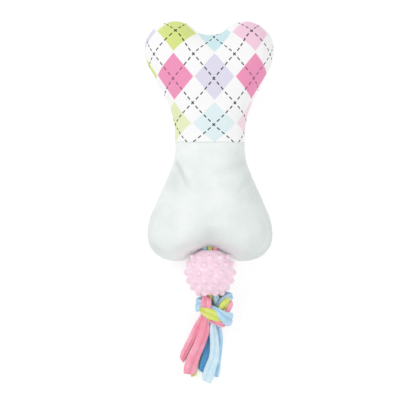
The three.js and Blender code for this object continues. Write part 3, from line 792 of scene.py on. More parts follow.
def bend_plane(points, sources, goals):
    """Moves points in the plane so that the sources land on the goals, as bent sheet metal would."""
    count = len(sources)
    system = np.zeros((count + 3, count + 3))
    system[:count, :count] = spline_kernel(sources, sources) + SPLINE_GIVE * np.eye(count)
    system[:count, count:] = np.c_[np.ones(count), sources]
    system[count:, :count] = system[:count, count:].T
    weights = np.linalg.solve(system, np.r_[goals, np.zeros((3, 2))])
    flat_part = np.c_[np.ones(len(points)), points] @ weights[count:]
    return spline_kernel(points, sources) @ weights[:count] + flat_part


seam_index = np.full(edge_count, -1)
seam_index[edge_of[on_edge]] = np.flatnonzero(on_edge)
drawn_in = smooth_ring(puffed[seam_index][:, :2], SEAM_PASSES)
plane = bend_plane(puffed[:, :2], drawn_in[::2], seam_goal[::2])
inset, _ = from_edge(plane)
swell = ease(np.abs(plane[:, 1] - CROSS_SEAM), 0, upper_lobe[1])
rolled = np.sqrt(1 - (1 - np.clip(inset / EDGE_ROLL, 0, 1)) ** 2)
front_pillow = rolled * (WAIST_DEPTH + (LOBE_DEPTH - WAIST_DEPTH) * swell)
back_pillow = rolled * BACK_DEPTH
share = PILLOW_SHARE * ease(np.concatenate([edge_gap, edge_gap[inner]]), *PILLOW_INSET)
on_front = puffed[:, 2] > 0
front_scale = LOBE_DEPTH / puffed[:, 2].max()
back_scale = -BACK_DEPTH / puffed[:, 2].min()
soft_height = puffed[:, 2] * np.where(on_front, front_scale, back_scale)
pillow_height = np.where(on_front, front_pillow, -back_pillow)
height = SEAM_HEIGHT + soft_height * (1 - share) + pillow_height * share
height = (height + np.sqrt(height**2 + 4 * FLOOR_EASE**2)) / 2
bone = np.c_[plane, height]

# A stuffed waist is pulled smooth, so the points there settle between their neighbours
sides = np.array([(f[k], f[(k + 1) % 3]) for f in bone_faces for k in range(3)])
side_count = np.bincount(sides[:, 0])


def settled(points, share):
    """Points moved part of the way to the middle of their neighbours."""
    total = np.zeros_like(points)
    np.add.at(total, sides[:, 0], points[sides[:, 1]])
    return points + share[:, None] * (total / side_count[:, None] - points)


near_waist = WAIST_SHARE * bell(plane[:, 1] - CROSS_SEAM, WAIST_BAND) * ease(inset, *WAIST_INSET)
for _ in range(WAIST_PASSES):
    bone = settled(bone, near_waist)

# The cross seam was sewn straight, and the cloth beside it follows
on_cross_seam = np.abs(flat[:, 1] - CROSS_SEAM) < TOUCH
for layer_side in (on_front, ~on_front):
    seam_row = np.flatnonzero(on_cross_seam & layer_side)
    seam_row = seam_row[np.argsort(bone[seam_row, 0])]
    stray = np.interp(bone[:, 0], bone[seam_row, 0], bone[seam_row, 1] - CROSS_SEAM)
    bone[:, 1] -= stray * bell(bone[:, 1] - CROSS_SEAM, STRAY_REACH) * layer_side
print("fitted box", bone.min(0).round(1), bone.max(0).round(1))

# %% [markdown]
# The ball swings up and down on its strands, so the cloth of the notch must leave room for it wherever it
# goes. Every point is moved straight away from the ball until it is clear of the spikes, or of the
# smooth cap between the spikes and the mouth. Points nearby then settle between their neighbours,
# turn and turn about with the moving, so that the lip stays round.

# %% Room for the ball
SWING_PIVOT = joint_at["cord_swing"]
SWING_REACH = math.radians(max(joints["cord_swing"]["range_deg"]))
SWING_STEPS = 9
SWING_ROUNDS = 2
SPIKE_CLEAR = 0.2
CAP_CLEAR = 0.3
CAP_EDGE = (math.radians(40), math.radians(48))
LIP_REACH = (24, 46)
LIP_SHARE = 0.6
LIP_PASSES = 10

ball_arm = SWING_PIVOT[1] - BALL[1]


def clear_of_ball(points):
    """Points moved away from the ball in all the places that it swings to."""
    for turn in np.tile(np.linspace(-SWING_REACH, SWING_REACH, SWING_STEPS), SWING_ROUNDS):
        axis = np.array((0, math.cos(turn), -math.sin(turn)))
        away = points - (SWING_PIVOT - ball_arm * axis)
        distance = np.linalg.norm(away, axis=1)
        from_pole = np.arccos(np.clip(away @ axis / distance, -1, 1))
        spiked = ease(from_pole, *CAP_EDGE)
        reach = (BALL_RADIUS + CAP_CLEAR) * (1 - spiked) + (BALL_REACH + SPIKE_CLEAR) * spiked
        points = points + away * (np.clip(reach - distance, 0, None) / distance)[:, None]
    return points


before = bone
near_notch = LIP_SHARE * (1 - ease(np.linalg.norm(bone[:, :2] - BALL[:2], axis=1), *LIP_REACH))
near_notch[seam_index] = 0
bone = clear_of_ball(bone)
for _ in range(LIP_PASSES):
    bone = clear_of_ball(settled(bone, near_notch))
print("largest move", np.linalg.norm(bone - before, axis=1).max().round(2), "mm")

# %% [markdown]
# Plush that is stuffed through one opening never lies perfectly smooth. The picture shows a pull above
# the lower notch, a fold that runs down from the waist on the left and small creases on the right
# flank. Each is a soft valley along a short line, pressed in along the cloth's own normal, and most
# of them also get painted shade in the plush's colour.

# %% Folds
# Start, end, depth, width and how much painted shade the fold gets. A ridge has a depth below zero.
FOLDS = [
    ((-29.0, -18.5), (-16.5, -40.0), 2.3, 2.3, 0.75),
    ((-34.0, -27.0), (-25.0, -44.0), 1.0, 8.0, 0.34),
    ((-24.0, -18.0), (-15.0, -34.0), -0.8, 2.6, 0.0),
    ((-25.0, -15.0), (-12.0, -25.0), 0.7, 3.0, 0.2),
    ((29.0, -19.0), (10.0, -26.0), 1.2, 3.6, 0.35),
    ((36.0, -28.5), (22.0, -44.5), 1.3, 3.4, 0.34),
    ((33.0, -40.0), (36.0, -54.0), 0.8, 6.0, 0.25),
    ((29.0, -29.0), (20.0, -41.0), -0.6, 2.6, 0.0),
    ((46.0, -56.0), (51.0, -75.0), 1.3, 2.0, 0.25),
    ((49.5, -58.0), (52.0, -70.0), 0.8, 1.6, 0.2),
    ((-52.0, -84.0), (-40.0, -95.0), 0.8, 3.2, 0.25),
    ((-20.0, -86.0), (-25.0, -93.0), 0.5, 3.0, 0.1),
    ((-33.0, 62.0), (-20.0, 50.0), 0.5, 4.0, 0.0),
    ((0.0, -80.0), (1.0, -69.0), 2.0, 10.0, 0.5),
]
FOLD_FADE = 0.75
FOLD_RISE = 6


def press_folds(points, normals):
    """Points with every fold pressed in, and how much painted shade each point gets there."""
    moved = points.copy()
    pressed = np.zeros(len(points))
    front = np.clip((points[:, 2] - SEAM_HEIGHT) / FOLD_RISE, 0, 1)
    for first, last, depth, width, tone in FOLDS:
        first, way = np.array(first), np.array(last) - np.array(first)
        along = np.clip(((points[:, :2] - first) @ way) / (way @ way), 0, 1)
        gap = np.linalg.norm(points[:, :2] - first - along[:, None] * way, axis=1)
        share = bell(gap, width) * front * (1 - FOLD_FADE * along**2)
        moved -= normals * (depth * share)[:, None]
        # pressed holds the painted shade of the folds
        pressed = np.maximum(pressed, tone * share)
    return moved, pressed


def surface_of(points, faces):
    """A mesh of the points in millimetres."""
    mesh = bpy.data.meshes.new("surface")
    mesh.from_pydata(points.tolist(), [], faces)
    return mesh


def normals_of(points, faces):
    """The outward directions of a surface at its points."""
    mesh = surface_of(points, faces)
    found = np.empty(3 * len(points))
    mesh.vertex_normals.foreach_get("vector", found)
    bpy.data.meshes.remove(mesh)
    return found.reshape(-1, 3)


bone, painted_fold_shade = press_folds(bone, normals_of(bone, bone_faces))
bone = clear_of_ball(bone)
print("folds", len(FOLDS))

# %% [markdown]
# One round of subdivision on the whole closed skin makes it smooth across the seams. Only then is it
# divided into its four panels, so that they meet exactly. A print lies on the cloth and turns away with
# it, so its places are those of the plane plus the length of cloth that the edge's roll hides. Above
# the cross seam the cloth is eased into the narrow waist, which crowds the print there.

# %% Divide the skin into panels
SIDE_SEAM_SINK = 0.4
CROSS_SEAM_SINK = 0.25
ROLL_STEPS = 200
# Half width and reach along the bone of the upper notch, where the edge rolls over less
TOP_NOTCH_HALF = 22
TOP_NOTCH_ALONG = (66, 84)
TOP_NOTCH_FLAT = 0.75
GATHER = 6.2
GATHER_FROM = 40
GATHER_LENGTH = 45
GATHER_POWER = 1.8
STRETCH = 0.15
STRETCH_MIDDLE = 3.6
# How much, within which half width and from where to where along the bone
CROWD_ACROSS = (0.31, 26, (73, 90))
CROWD_ALONG = (5.0, 18, (66, 88))


def subdivided(points, faces, carried):
    """The skin after one subdivision, with the carried values of its points."""
    mesh = surface_of(points, faces)
    for k in range(carried.shape[1]):
        layer_of = mesh.attributes.new(f"carried_{k}", "FLOAT", "POINT")
        layer_of.data.foreach_set("value", carried[:, k].astype(np.float32))
    holder = add_object("surface", mesh)
    smoother = holder.modifiers.new("smooth", "SUBSURF")
    smoother.levels = smoother.render_levels = 1
    fine = shown_mesh(holder)
    fine_points = points_of(fine)
    values = np.empty((len(fine.vertices), carried.shape[1]), np.float32)
    for k in range(carried.shape[1]):
        column = np.empty(len(fine.vertices), np.float32)
        fine.attributes[f"carried_{k}"].data.foreach_get("value", column)
        values[:, k] = column
    fine_faces = [tuple(p.vertices) for p in fine.polygons]
    bpy.data.objects.remove(holder)
    bpy.data.meshes.remove(mesh)
    bpy.data.meshes.remove(fine)
    return fine_points, fine_faces, values


coarse_normals = normals_of(bone, bone_faces)
on_side_seam = np.zeros(len(bone))
on_side_seam[seam_index] = 1
sunk = np.maximum(on_side_seam * SIDE_SEAM_SINK, on_cross_seam * CROSS_SEAM_SINK)
bone = bone - coarse_normals * sunk[:, None]
front_side = np.ones(len(bone))
front_side[layer_count:] = -1
front_side[seam_index] = 0
skin, skin_faces, carried = subdivided(bone, bone_faces, np.c_[flat, front_side, painted_fold_shade])

roll_turn = np.linspace(0, HALF_TURN / 2, ROLL_STEPS)
roll_inset = EDGE_ROLL * (1 - np.cos(roll_turn))
roll_height = LOBE_DEPTH * np.sin(roll_turn)
roll_length = run_along(np.c_[roll_inset, roll_height])
overhang = (roll_length[-1] - roll_length) - (EDGE_ROLL - roll_inset)
skin_inset, skin_out = from_edge(skin)
in_notch = bell(skin[:, 0], TOP_NOTCH_HALF) * ease(skin[:, 1], *TOP_NOTCH_ALONG)
turned_down = np.interp(skin_inset, roll_inset, overhang) * (1 - TOP_NOTCH_FLAT * in_notch)
print_place = skin[:, :2] + skin_out * turned_down[:, None]
gathered = np.clip(GATHER_FROM - skin[:, 1], 0, GATHER_LENGTH) / (GATHER_FROM - CROSS_SEAM)
print_place[:, 1] -= GATHER * gathered**GATHER_POWER
print_place[:, 0] -= STRETCH * gathered * (print_place[:, 0] - STRETCH_MIDDLE)
aside = skin[:, 0] - STRETCH_MIDDLE
much, half_width, between = CROWD_ACROSS
print_place[:, 0] += much * aside * bell(aside, half_width) * ease(skin[:, 1], *between)
much, half_width, between = CROWD_ALONG
print_place[:, 1] += much * bell(aside, half_width) * ease(skin[:, 1], *between)
print("skin points", len(skin), "cloth turned down at the edge", overhang[0].round(1), "mm")

# %% [markdown]
# Every piece is made the same way, from points in millimetres, faces and a finish. Where it helps, a
# point also carries its place on the flat cloth, for the print and the knit, and how much painted shade
# it gets in a fold or crease. A sheet gets its thickness from a modifier, inwards, so that its outside stays put.

# %% Pieces from points
def make_piece(name, points, faces, material, places=None, pressed=None):
    """A smooth mesh object, with pattern places and painted shade for folds and creases where they are given."""
    mesh = bpy.data.meshes.new(name)
    mesh.from_pydata((np.asarray(points) * MM).tolist(), [], faces)
    mesh.shade_smooth()
    mesh.materials.append(material)
    if places is not None:
        corners = np.empty(len(mesh.loops), np.int32)
        mesh.loops.foreach_get("vertex_index", corners)
        corner_places = np.asarray(places)[corners].astype(np.float32)
        mesh.uv_layers.new(name="pattern").data.foreach_set("uv", corner_places.ravel())
    # The pressed attribute holds painted shade for folds and creases
    if pressed is not None:
        marks = mesh.attributes.new("pressed", "FLOAT", "POINT")
        marks.data.foreach_set("value", np.asarray(pressed, np.float32))
    return add_object(name, mesh)


def thicken(made, thickness):
    """Gives an open sheet its thickness, inwards from its outer face."""
    modifier = made.modifiers.new("thickness", "SOLIDIFY")
    modifier.thickness = thickness * MM
    modifier.offset = -1
    return made


def quads(rows, columns, rows_closed=False, columns_closed=False):
    """Faces of a grid of points that lie row after row, joined up where it is closed."""
    faces = []
    for k in range(rows if rows_closed else rows - 1):
        near, far = k * columns, (k + 1) % rows * columns
        for j in range(columns if columns_closed else columns - 1):
            beside = (j + 1) % columns
            faces.append((near + j, near + beside, far + beside, far + j))
    return faces


def picked(points, faces, keep):
    """The kept faces with only the points that they use, and the indexes of those points."""
    chosen = [f for f, k in zip(faces, keep) if k]
    used = np.unique(np.concatenate([np.array(f) for f in chosen]))
    renumber = np.full(len(points), -1)
    renumber[used] = np.arange(len(used))
    return points[used], [tuple(int(renumber[k]) for k in f) for f in chosen], used


print("helpers for pieces")

# %% [markdown]
# The upper half is printed cotton with an argyle: rows of coloured diamonds, tip to tip on white, and
# dashed lines that cross in their middles. The pattern is worked out from the cloth's own places, so
# it needs no picture. Rounding a place to its lattice gives the diamond it belongs to, and the sum of
# the two remainders tells whether it lies inside.

# %% Printed cotton
ARGYLE_PITCH = (33.8, 40.8)
ARGYLE_MIDDLE = (3.6, 52.4)
DASH_MIDDLE = (3.1, 50.8)
DIAMOND_SHARE = 0.965
DIAMOND_SOFT = 0.02
DASHES_BETWEEN = 5
DASH_SHARE = 0.6
DASH_WIDTH = 1.05
DASH_SOFT = 0.15
LOW_ROW_WASH = 0.4
DASH_INK = 0.95
HOT_WASH = 0.3
THREAD_PITCH = 0.45
THREAD_DEPTH = 0.2 * MM
COTTON_ROUGH = (0.78, 0.92)
INK_SPECKLE = 0.6 * MM
INK_TAKEN = (0.88, 1.0)
# A rounded place can fall just short of its whole number, so a little is added before it is counted
ROUNDING = 0.1
LIME = tint(219, 231, 134)
HOT_PINK = tint(243, 148, 190)
LAVENDER = tint(226, 222, 240)
AQUA = tint(208, 237, 241)
PALE_PINK = tint(249, 208, 228)
THREAD_GREY = tint(42, 42, 48)
COTTON_WHITE = tint(252, 252, 252)

cotton = Finish("printed_cotton")
across, along = cotton.pattern()
column = (across - ARGYLE_MIDDLE[0]) / ARGYLE_PITCH[0]
row = (along - ARGYLE_MIDDLE[1]) / ARGYLE_PITCH[1]
nearest_column, nearest_row = round(column), round(row)
spread = (abs(column - nearest_column) + abs(row - nearest_row)) * 2
wobble = (cotton.noise(1.2 * MM) - 0.5) * DIAMOND_SOFT
diamond = 1 - cotton.ease(spread + wobble, DIAMOND_SHARE - DIAMOND_SOFT, DIAMOND_SHARE + DIAMOND_SOFT)

column_turn = ((nearest_column + (2 + ROUNDING)) % 4) / 4
plain_row = [(0.0, LAVENDER), (0.25, LIME), (0.5, AQUA), (0.75, PALE_PINK)]
bright_row = [(0.0, LIME), (0.25, HOT_PINK), (0.5, LAVENDER), (0.75, HOT_PINK)]
plain_colour = cotton.node("ShaderNodeValToRGB", {"stops": plain_row}, {0: column_turn})
bright_colour = cotton.node("ShaderNodeValToRGB", {"stops": bright_row}, {0: column_turn})
is_plain = (nearest_row % 2) > 0.5
ink = cotton.mix(is_plain, bright_colour, plain_colour)
washed = 1 - (nearest_row < -0.5) * LOW_ROW_WASH
taken = cotton.ease(cotton.noise(INK_SPECKLE), 0.2, 0.6, *INK_TAKEN) * washed
ground = cotton.mix(diamond * taken, COTTON_WHITE, ink)

steepness = math.hypot(1 / ARGYLE_PITCH[0], 1 / ARGYLE_PITCH[1])
dash_column = (across - DASH_MIDDLE[0]) / ARGYLE_PITCH[0]
dash_row = (along - DASH_MIDDLE[1]) / ARGYLE_PITCH[1]
dashes = None
for side in (1, -1):
    line = dash_column + dash_row * side
    other = dash_column - dash_row * side
    off_line = abs(line - round(line)) / steepness
    beat = (other * DASHES_BETWEEN + 0.5) % 1
    in_width = 1 - cotton.ease(off_line, DASH_WIDTH / 2 - DASH_SOFT, DASH_WIDTH / 2 + DASH_SOFT)
    on_dash = (abs(beat - 0.5) < DASH_SHARE / 2) * in_width
    dashes = on_dash if dashes is None else dashes.math("MAXIMUM", dashes, on_dash)
# The dashes are paler where they cross the strongest pink
hot = (1 - is_plain) * ((nearest_column + ROUNDING) % 2 > 0.5)
print_colour = cotton.mix(dashes * (DASH_INK - diamond * hot * HOT_WASH), ground, THREAD_GREY)

warp = (across * (2 * math.pi / THREAD_PITCH)).sine()
weft = (along * (2 * math.pi / THREAD_PITCH)).sine()
cotton_height = warp * weft * 0.5 + cotton.noise(2.5 * MM)
printed_cotton = cotton.surface(
    Base_Color=print_colour,
    Roughness=cotton.ease(cotton.noise(1.5 * MM), 0.2, 0.8, *COTTON_ROUGH),
    Normal=cotton.bump(cotton_height, 0.12, THREAD_DEPTH),
    Sheen_Weight=0.12,
    Sheen_Roughness=0.5,
    Specular_IOR_Level=0.25,
)
print("argyle lattice", ARGYLE_PITCH, "mm")

# %% [markdown]
# The lower half is short-pile plush, almost white with a cool cast. Pile stands up in soft drifts that
# catch the light a little differently. Both flanks are painted a shade deeper than the middle, as painted
# shade where the padding turns away from the light, and the folds get painted shade too. Two sizes of
# noise give the drifts and the pile.

# %% Plush
PLUSH_LIGHT = tint(247, 252, 250)
PLUSH_DEEP = tint(222, 230, 228)
PLUSH_FOLD_SHADE = tint(200, 208, 206)
PLUSH_ROUGH = (0.86, 0.98)
DRIFT_SIZE = 14 * MM
PILE_SIZE = 0.7 * MM
PILE_DEPTH = 0.5 * MM
FLANK_SHADE_MIDDLE = -10 * MM
FLANK_SHADE_FROM = 10 * MM
FLANK_SHADE_TO = 52 * MM
FLANK_SHADE_SHARE = 0.55

nap = Finish("plush")
drift = nap.noise(DRIFT_SIZE, 3.0)
pile = nap.noise(PILE_SIZE, 3.0, 0.7)
sideways = nap.node("ShaderNodeSeparateXYZ", None, {0: nap.place()}, output="X")
# Painted shade: the flanks are painted darker than the middle, towards PLUSH_DEEP
middle_painted_light = 1 - nap.ease(abs(sideways - FLANK_SHADE_MIDDLE), FLANK_SHADE_FROM, FLANK_SHADE_TO)
standing = nap.ease(drift * 0.55 + pile * 0.45, 0.32, 0.68)
plush_share = standing * (1 - FLANK_SHADE_SHARE) + middle_painted_light * FLANK_SHADE_SHARE
# Painted shade in the folds, read from the points' pressed attribute
fold_shade_attribute = nap.node("ShaderNodeAttribute", {"attribute_name": "pressed"}, output="Fac")
plush = nap.surface(
    Base_Color=nap.mix(fold_shade_attribute, nap.mix(plush_share, PLUSH_DEEP, PLUSH_LIGHT), PLUSH_FOLD_SHADE),
    Roughness=nap.ease(pile, 0.3, 0.7, *PLUSH_ROUGH),
    Normal=nap.bump(pile + drift * 0.5, 0.35, PILE_DEPTH),
    Sheen_Weight=0.25,
    Sheen_Roughness=0.45,
    Specular_IOR_Level=0.15,
)
print("plush", [round(c, 3) for c in PLUSH_LIGHT[:3]])

# %% [markdown]
# Each panel is a sheet that the filling stretches, so it keeps its thickness inwards and is declared
# with the size that it was cut to. All four flatten towards the floor when the squeaker is pressed.
# Nobody matches a print across the side seam, so the back's is shifted.

# %% Cover panels
COTTON_THICKNESS = 0.7
PLUSH_THICKNESS = 1.3
BACK_SHIFT = np.array((12.0, 9.0))
SQUEEZE_KEEP = 0.8
SQUEEZE_ANCHOR = (0, CROSS_SEAM * MM, 0)


def flat_size(corners_of):
    """Width, length and area of a panel's flat pattern in metres, from its triangles."""
    low, high = corners_of.min((0, 1)), corners_of.max((0, 1))
    a, b, c = corners_of[:, 0], corners_of[:, 1], corners_of[:, 2]
    area = np.abs((b - a)[:, 0] * (c - a)[:, 1] - (b - a)[:, 1] * (c - a)[:, 0]).sum() / 2
    return tuple(float(x) for x in (high - low) * MM), float(area * MM * MM)


face_side = np.array([carried[list(f), 2].mean() for f in skin_faces])
face_along = np.array([carried[list(f), 1].mean() for f in skin_faces])
cut = np.array([layer[list(f)] for f in layer_faces])
cut_along = cut[:, :, 1].mean(1)
PANELS = [
    ("upper_front", printed_cotton, "printed_cotton", COTTON_THICKNESS),
    ("upper_back", printed_cotton, "printed_cotton", COTTON_THICKNESS),
    ("lower_front", plush, "plush", PLUSH_THICKNESS),
    ("lower_back", plush, "plush", PLUSH_THICKNESS),
]
for panel_name, panel_finish, panel_slot, panel_thickness in PANELS:
    is_upper = panel_name.startswith("upper")
    keep = (face_side > 0) == panel_name.endswith("front")
    keep &= (face_along > CROSS_SEAM) == is_upper
    panel_points, panel_faces, used = picked(skin, skin_faces, keep)
    panel_place = print_place[used] + (0 if panel_name.endswith("front") else BACK_SHIFT)
    panel_parts = (panel_points, panel_faces, panel_finish, panel_place, carried[used, 3])
    panel = thicken(make_piece(f"{panel_name}_cover", *panel_parts), panel_thickness)
    size, area = flat_size(cut[(cut_along > CROSS_SEAM) == is_upper])
    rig.sheet(panel, flat=size, held="stretched", rests_on=[f"{panel_name[:5]}_padding"], area=area)
    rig.squash(panel, "squeaker_squeeze", (0, 0, 1), SQUEEZE_ANCHOR, SQUEEZE_KEEP)
    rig.ride(panel, "bone")
    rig.replaces(panel, f"{panel_name}_panel")
    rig.slot(panel, panel_slot)
    print(panel.name, "cut", np.round(size, 3), "area", round(area, 5))

# %% [markdown]
# Under the covers lies loose fibre, in two wads with a pocket for the squeaker. The skin moved inwards
# gives their outside. A cut across the seam and a drum for the pocket, both as exact booleans, do the
# rest. Nobody sees them, but the covers rest on them and they flatten together.

# %% Filling
PADDING_DEPTH = 2.2
POCKET_RADIUS = 20.4
POCKET_LOW = 8.0
POCKET_HIGH = 32.5
POCKET_SIDES = 48
SLAB_REACH = 120
SLAB_END = 130
WAD_GAP = 0.2
FILL_SHARE = 0.7
# Name and the two places along the bone that a wad lies between
WADS = [
    ("upper", CROSS_SEAM + WAD_GAP, SLAB_END),
    ("lower", -SLAB_END, CROSS_SEAM - WAD_GAP),
]

loft = Finish("fibre_fill")
strands_of_fill = loft.noise(2.2 * MM, 6.0, 0.7)
fibre_fill = loft.surface(
    Base_Color=loft.mix(strands_of_fill, tint(226, 227, 224), tint(252, 252, 250)),
    Roughness=0.95,
    Normal=loft.bump(strands_of_fill, 0.6, 1.2 * MM),
    Sheen_Weight=0.3,
)


def drum(radius, low, high, sides):
    """A closed upright cylinder on the squeaker's axis."""
    turns = [2 * math.pi * k / sides for k in range(sides)]
    ring = [(radius * math.cos(t), CROSS_SEAM + radius * math.sin(t)) for t in turns]
    points = [(x, y, z) for z in (low, high) for x, y in ring]
    caps = [tuple(reversed(range(sides))), tuple(range(sides, 2 * sides))]
    return points, quads(2, sides, columns_closed=True) + caps


def slab(low_y, high_y):
    """A block that takes in one half of the bone."""
    ends = (-SLAB_REACH, SLAB_REACH)
    points = [(x, y, z) for x in ends for y in (low_y, high_y) for z in ends]
    return points, [(0, 1, 3, 2), (4, 6, 7, 5), (0, 4, 5, 1), (2, 3, 7, 6), (0, 2, 6, 4), (1, 5, 7, 3)]


def cut_with(made, points, faces, operation):
    """Applies one boolean to a piece and leaves a plain mesh."""
    tool = make_piece("tool", points, faces, fibre_fill)
    boolean = made.modifiers.new("cut", "BOOLEAN")
    boolean.operation = operation
    boolean.solver = "EXACT"
    boolean.object = tool
    fresh = shown_mesh(made)
    made.modifiers.clear()
    made.data = fresh
    bpy.data.objects.remove(tool)


wad = bone - normals_of(bone, bone_faces) * PADDING_DEPTH
for wad_name, low_y, high_y in WADS:
    padding = make_piece(f"{wad_name}_padding", wad, bone_faces, fibre_fill)
    cut_with(padding, *slab(low_y, high_y), "INTERSECT")
    cut_with(padding, *drum(POCKET_RADIUS, POCKET_LOW, POCKET_HIGH, POCKET_SIDES), "DIFFERENCE")
    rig.padded(padding, fill=FILL_SHARE)
    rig.squash(padding, "squeaker_squeeze", (0, 0, 1), SQUEEZE_ANCHOR, SQUEEZE_KEEP)
    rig.ride(padding, "bone")
    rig.replaces(padding, f"{wad_name}_filling")
    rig.slot(padding, "fibre_fill")
    print(padding.name, len(padding.data.polygons), "faces")

# %% [markdown]
# The squeaker's solids already have their real shape, so they stay and only get their plastics: a soft
# cloudy vinyl for the bulb and a harder satin plastic for the reed, its clamp and its plug. The bulb's
# wall alone is a copy, because it shortens by as much as the crown above it is pressed down.

# %% Squeaker
WELD_GAP = 1e-6
WALL_CORNER = math.radians(35)

bulb = Finish("bulb_vinyl")
cloud = bulb.noise(6 * MM, 3.0)
bulb_vinyl = bulb.surface(
    Base_Color=bulb.mix(cloud, tint(232, 228, 216), tint(246, 244, 236)),
    Roughness=bulb.ease(cloud, 0.3, 0.7, 0.4, 0.52),
    Normal=bulb.bump(bulb.noise(1.5 * MM), 0.05, 0.3 * MM),
)
satin = Finish("reed_plastic")
grain = satin.noise(0.8 * MM, 4.0)
reed_plastic = satin.surface(
    Base_Color=satin.mix(grain, tint(206, 202, 190), tint(222, 218, 206)),
    Roughness=satin.ease(grain, 0.3, 0.7, 0.3, 0.42),
    Normal=satin.bump(grain, 0.05, 0.2 * MM),
)
SQUEAKER = {
    "squeaker_base": bulb_vinyl,
    "squeaker_wall": bulb_vinyl,
    "squeaker_crown": bulb_vinyl,
    "squeaker_plug": reed_plastic,
    "squeaker_reed": reed_plastic,
    "reed_clamp": reed_plastic,
}
for node_name, material in SQUEAKER.items():
    node_mesh = frame["nodes"][node_name].data
    node_mesh.materials.clear()
    node_mesh.materials.append(material)

squeeze = joints["squeaker_squeeze"]
wall_foot = squeeze["deforming_nodes"][0]["fixed_end_z_m"]
wall_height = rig.box("squeaker_wall")[1][2] - wall_foot
wall_keep = 1 - squeeze["range_m"][1] / wall_height
wall_mesh = frame["nodes"]["squeaker_wall"].data.copy()
joined = bmesh.new()
joined.from_mesh(wall_mesh)
bmesh.ops.remove_doubles(joined, verts=joined.verts, dist=WELD_GAP)
joined.to_mesh(wall_mesh)
joined.free()
wall_mesh.shade_smooth()
wall_mesh.set_sharp_from_angle(angle=WALL_CORNER)
bulb_wall = add_object("bulb_wall", wall_mesh)
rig.squash(bulb_wall, "squeaker_squeeze", (0, 0, 1), (0, CROSS_SEAM * MM, wall_foot), wall_keep)
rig.ride(bulb_wall, "bone")
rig.replaces(bulb_wall, "squeaker_wall")
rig.slot(bulb_wall, "bulb_vinyl")
print("squeaker nodes", len(SQUEAKER), "pressed wall keeps", round(wall_keep, 2), "of its height")

# %% [markdown]
# The ball is moulded from soft, glossy rubber: a thick shell with a bore for the strands and rows of
# short round spikes that run round it. A spike repeats some sixty times, so Geometry Nodes set one
# small dome on each of a cloud of points and turn it outwards. A voxel remesh then melts shell and
# spikes together, which gives the soft fillets of a moulding.

# %% Spiky ball
BALL_WALL = 3.5
BORE_RADIUS = 6.8
SPIKE_PITCH = 9.6
SPIKE_ROW_PITCH = 6.9
SPIKE_ROWS = 5
LOWER_ROWS = 1
SPIKE_RADIUS = 2.6
SPIKE_STRETCH = 1.1
DOME_DETAIL = 3
SHELL_SIDES = 96
OUTER_STEPS = 40
INNER_STEPS = 30
MELT_VOXEL = 0.4
MELT_LOSS = 0.35
SOFTEN_SHARE = 0.5
SOFTEN_PASSES = 12
BLOOM_SIZE = 5 * MM
RUBBER_ROUGH = (0.24, 0.34)


def spike_tree():
    """A node tree that sets a dome on every point and turns it away from the ball's middle."""
    tree = bpy.data.node_groups.new("spikes", "GeometryNodeTree")
    panel = tree.interface
    panel.new_socket("Geometry", in_out="OUTPUT", socket_type="NodeSocketGeometry")
    kinds = {
        "Points": "NodeSocketGeometry",
        "Spike radius": "NodeSocketFloat",
        "Spike stretch": "NodeSocketFloat",
        "Middle": "NodeSocketVector",
        "Material": "NodeSocketMaterial",
    }
    sockets = {}
    for name, kind in kinds.items():
        sockets[name] = panel.new_socket(name, in_out="INPUT", socket_type=kind)
    nodes, link = tree.nodes, tree.links.new
    given = nodes.new("NodeGroupInput")
    dome = nodes.new("GeometryNodeMeshIcoSphere")
    dome.inputs["Subdivisions"].default_value = DOME_DETAIL
    link(given.outputs["Spike radius"], dome.inputs["Radius"])
    stretch = nodes.new("ShaderNodeCombineXYZ")
    stretch.inputs["X"].default_value = stretch.inputs["Y"].default_value = 1
    link(given.outputs["Spike stretch"], stretch.inputs["Z"])
    place = nodes.new("GeometryNodeInputPosition")
    outwards = nodes.new("ShaderNodeVectorMath")
    outwards.operation = "SUBTRACT"
    link(place.outputs[0], outwards.inputs[0])
    link(given.outputs["Middle"], outwards.inputs[1])
    turned = nodes.new("FunctionNodeAlignEulerToVector")
    turned.axis = "Z"
    link(outwards.outputs[0], turned.inputs["Vector"])
    copies = nodes.new("GeometryNodeInstanceOnPoints")
    link(given.outputs["Points"], copies.inputs["Points"])
    link(dome.outputs["Mesh"], copies.inputs["Instance"])
    link(stretch.outputs[0], copies.inputs["Scale"])
    link(turned.outputs[0], copies.inputs["Rotation"])
    real = nodes.new("GeometryNodeRealizeInstances")
    link(copies.outputs[0], real.inputs[0])
    painted = nodes.new("GeometryNodeSetMaterial")
    link(real.outputs[0], painted.inputs["Geometry"])
    link(given.outputs["Material"], painted.inputs["Material"])
    out = nodes.new("NodeGroupOutput")
    link(painted.outputs[0], out.inputs[0])
    return tree, {name: socket.identifier for name, socket in sockets.items()}


def lathe(profile, sides, middle):
    """A closed ring of [radius, place along Y] pairs turned about the ball's own axis."""
    points = []
    for k in range(sides):
        turn = 2 * math.pi * k / sides
        aside, up = math.sin(turn), math.cos(turn)
        points += [(middle[0] + r * aside, middle[1] + y, middle[2] + r * up) for r, y in profile]
    return points, quads(sides, len(profile), rows_closed=True, columns_closed=True)


def arc_between(radius, first, last, steps):
    """Points of an arc about the middle."""
    return [(radius * math.cos(t), radius * math.sin(t)) for t in np.linspace(first, last, steps)]


outer_turn = math.acos(BORE_RADIUS / BALL_RADIUS)
inner_radius = BALL_RADIUS - BALL_WALL
inner_turn = math.acos(BORE_RADIUS / inner_radius)
shell_profile = arc_between(BALL_RADIUS, -outer_turn, outer_turn, OUTER_STEPS)
shell_profile += arc_between(inner_radius, inner_turn, -inner_turn, INNER_STEPS)

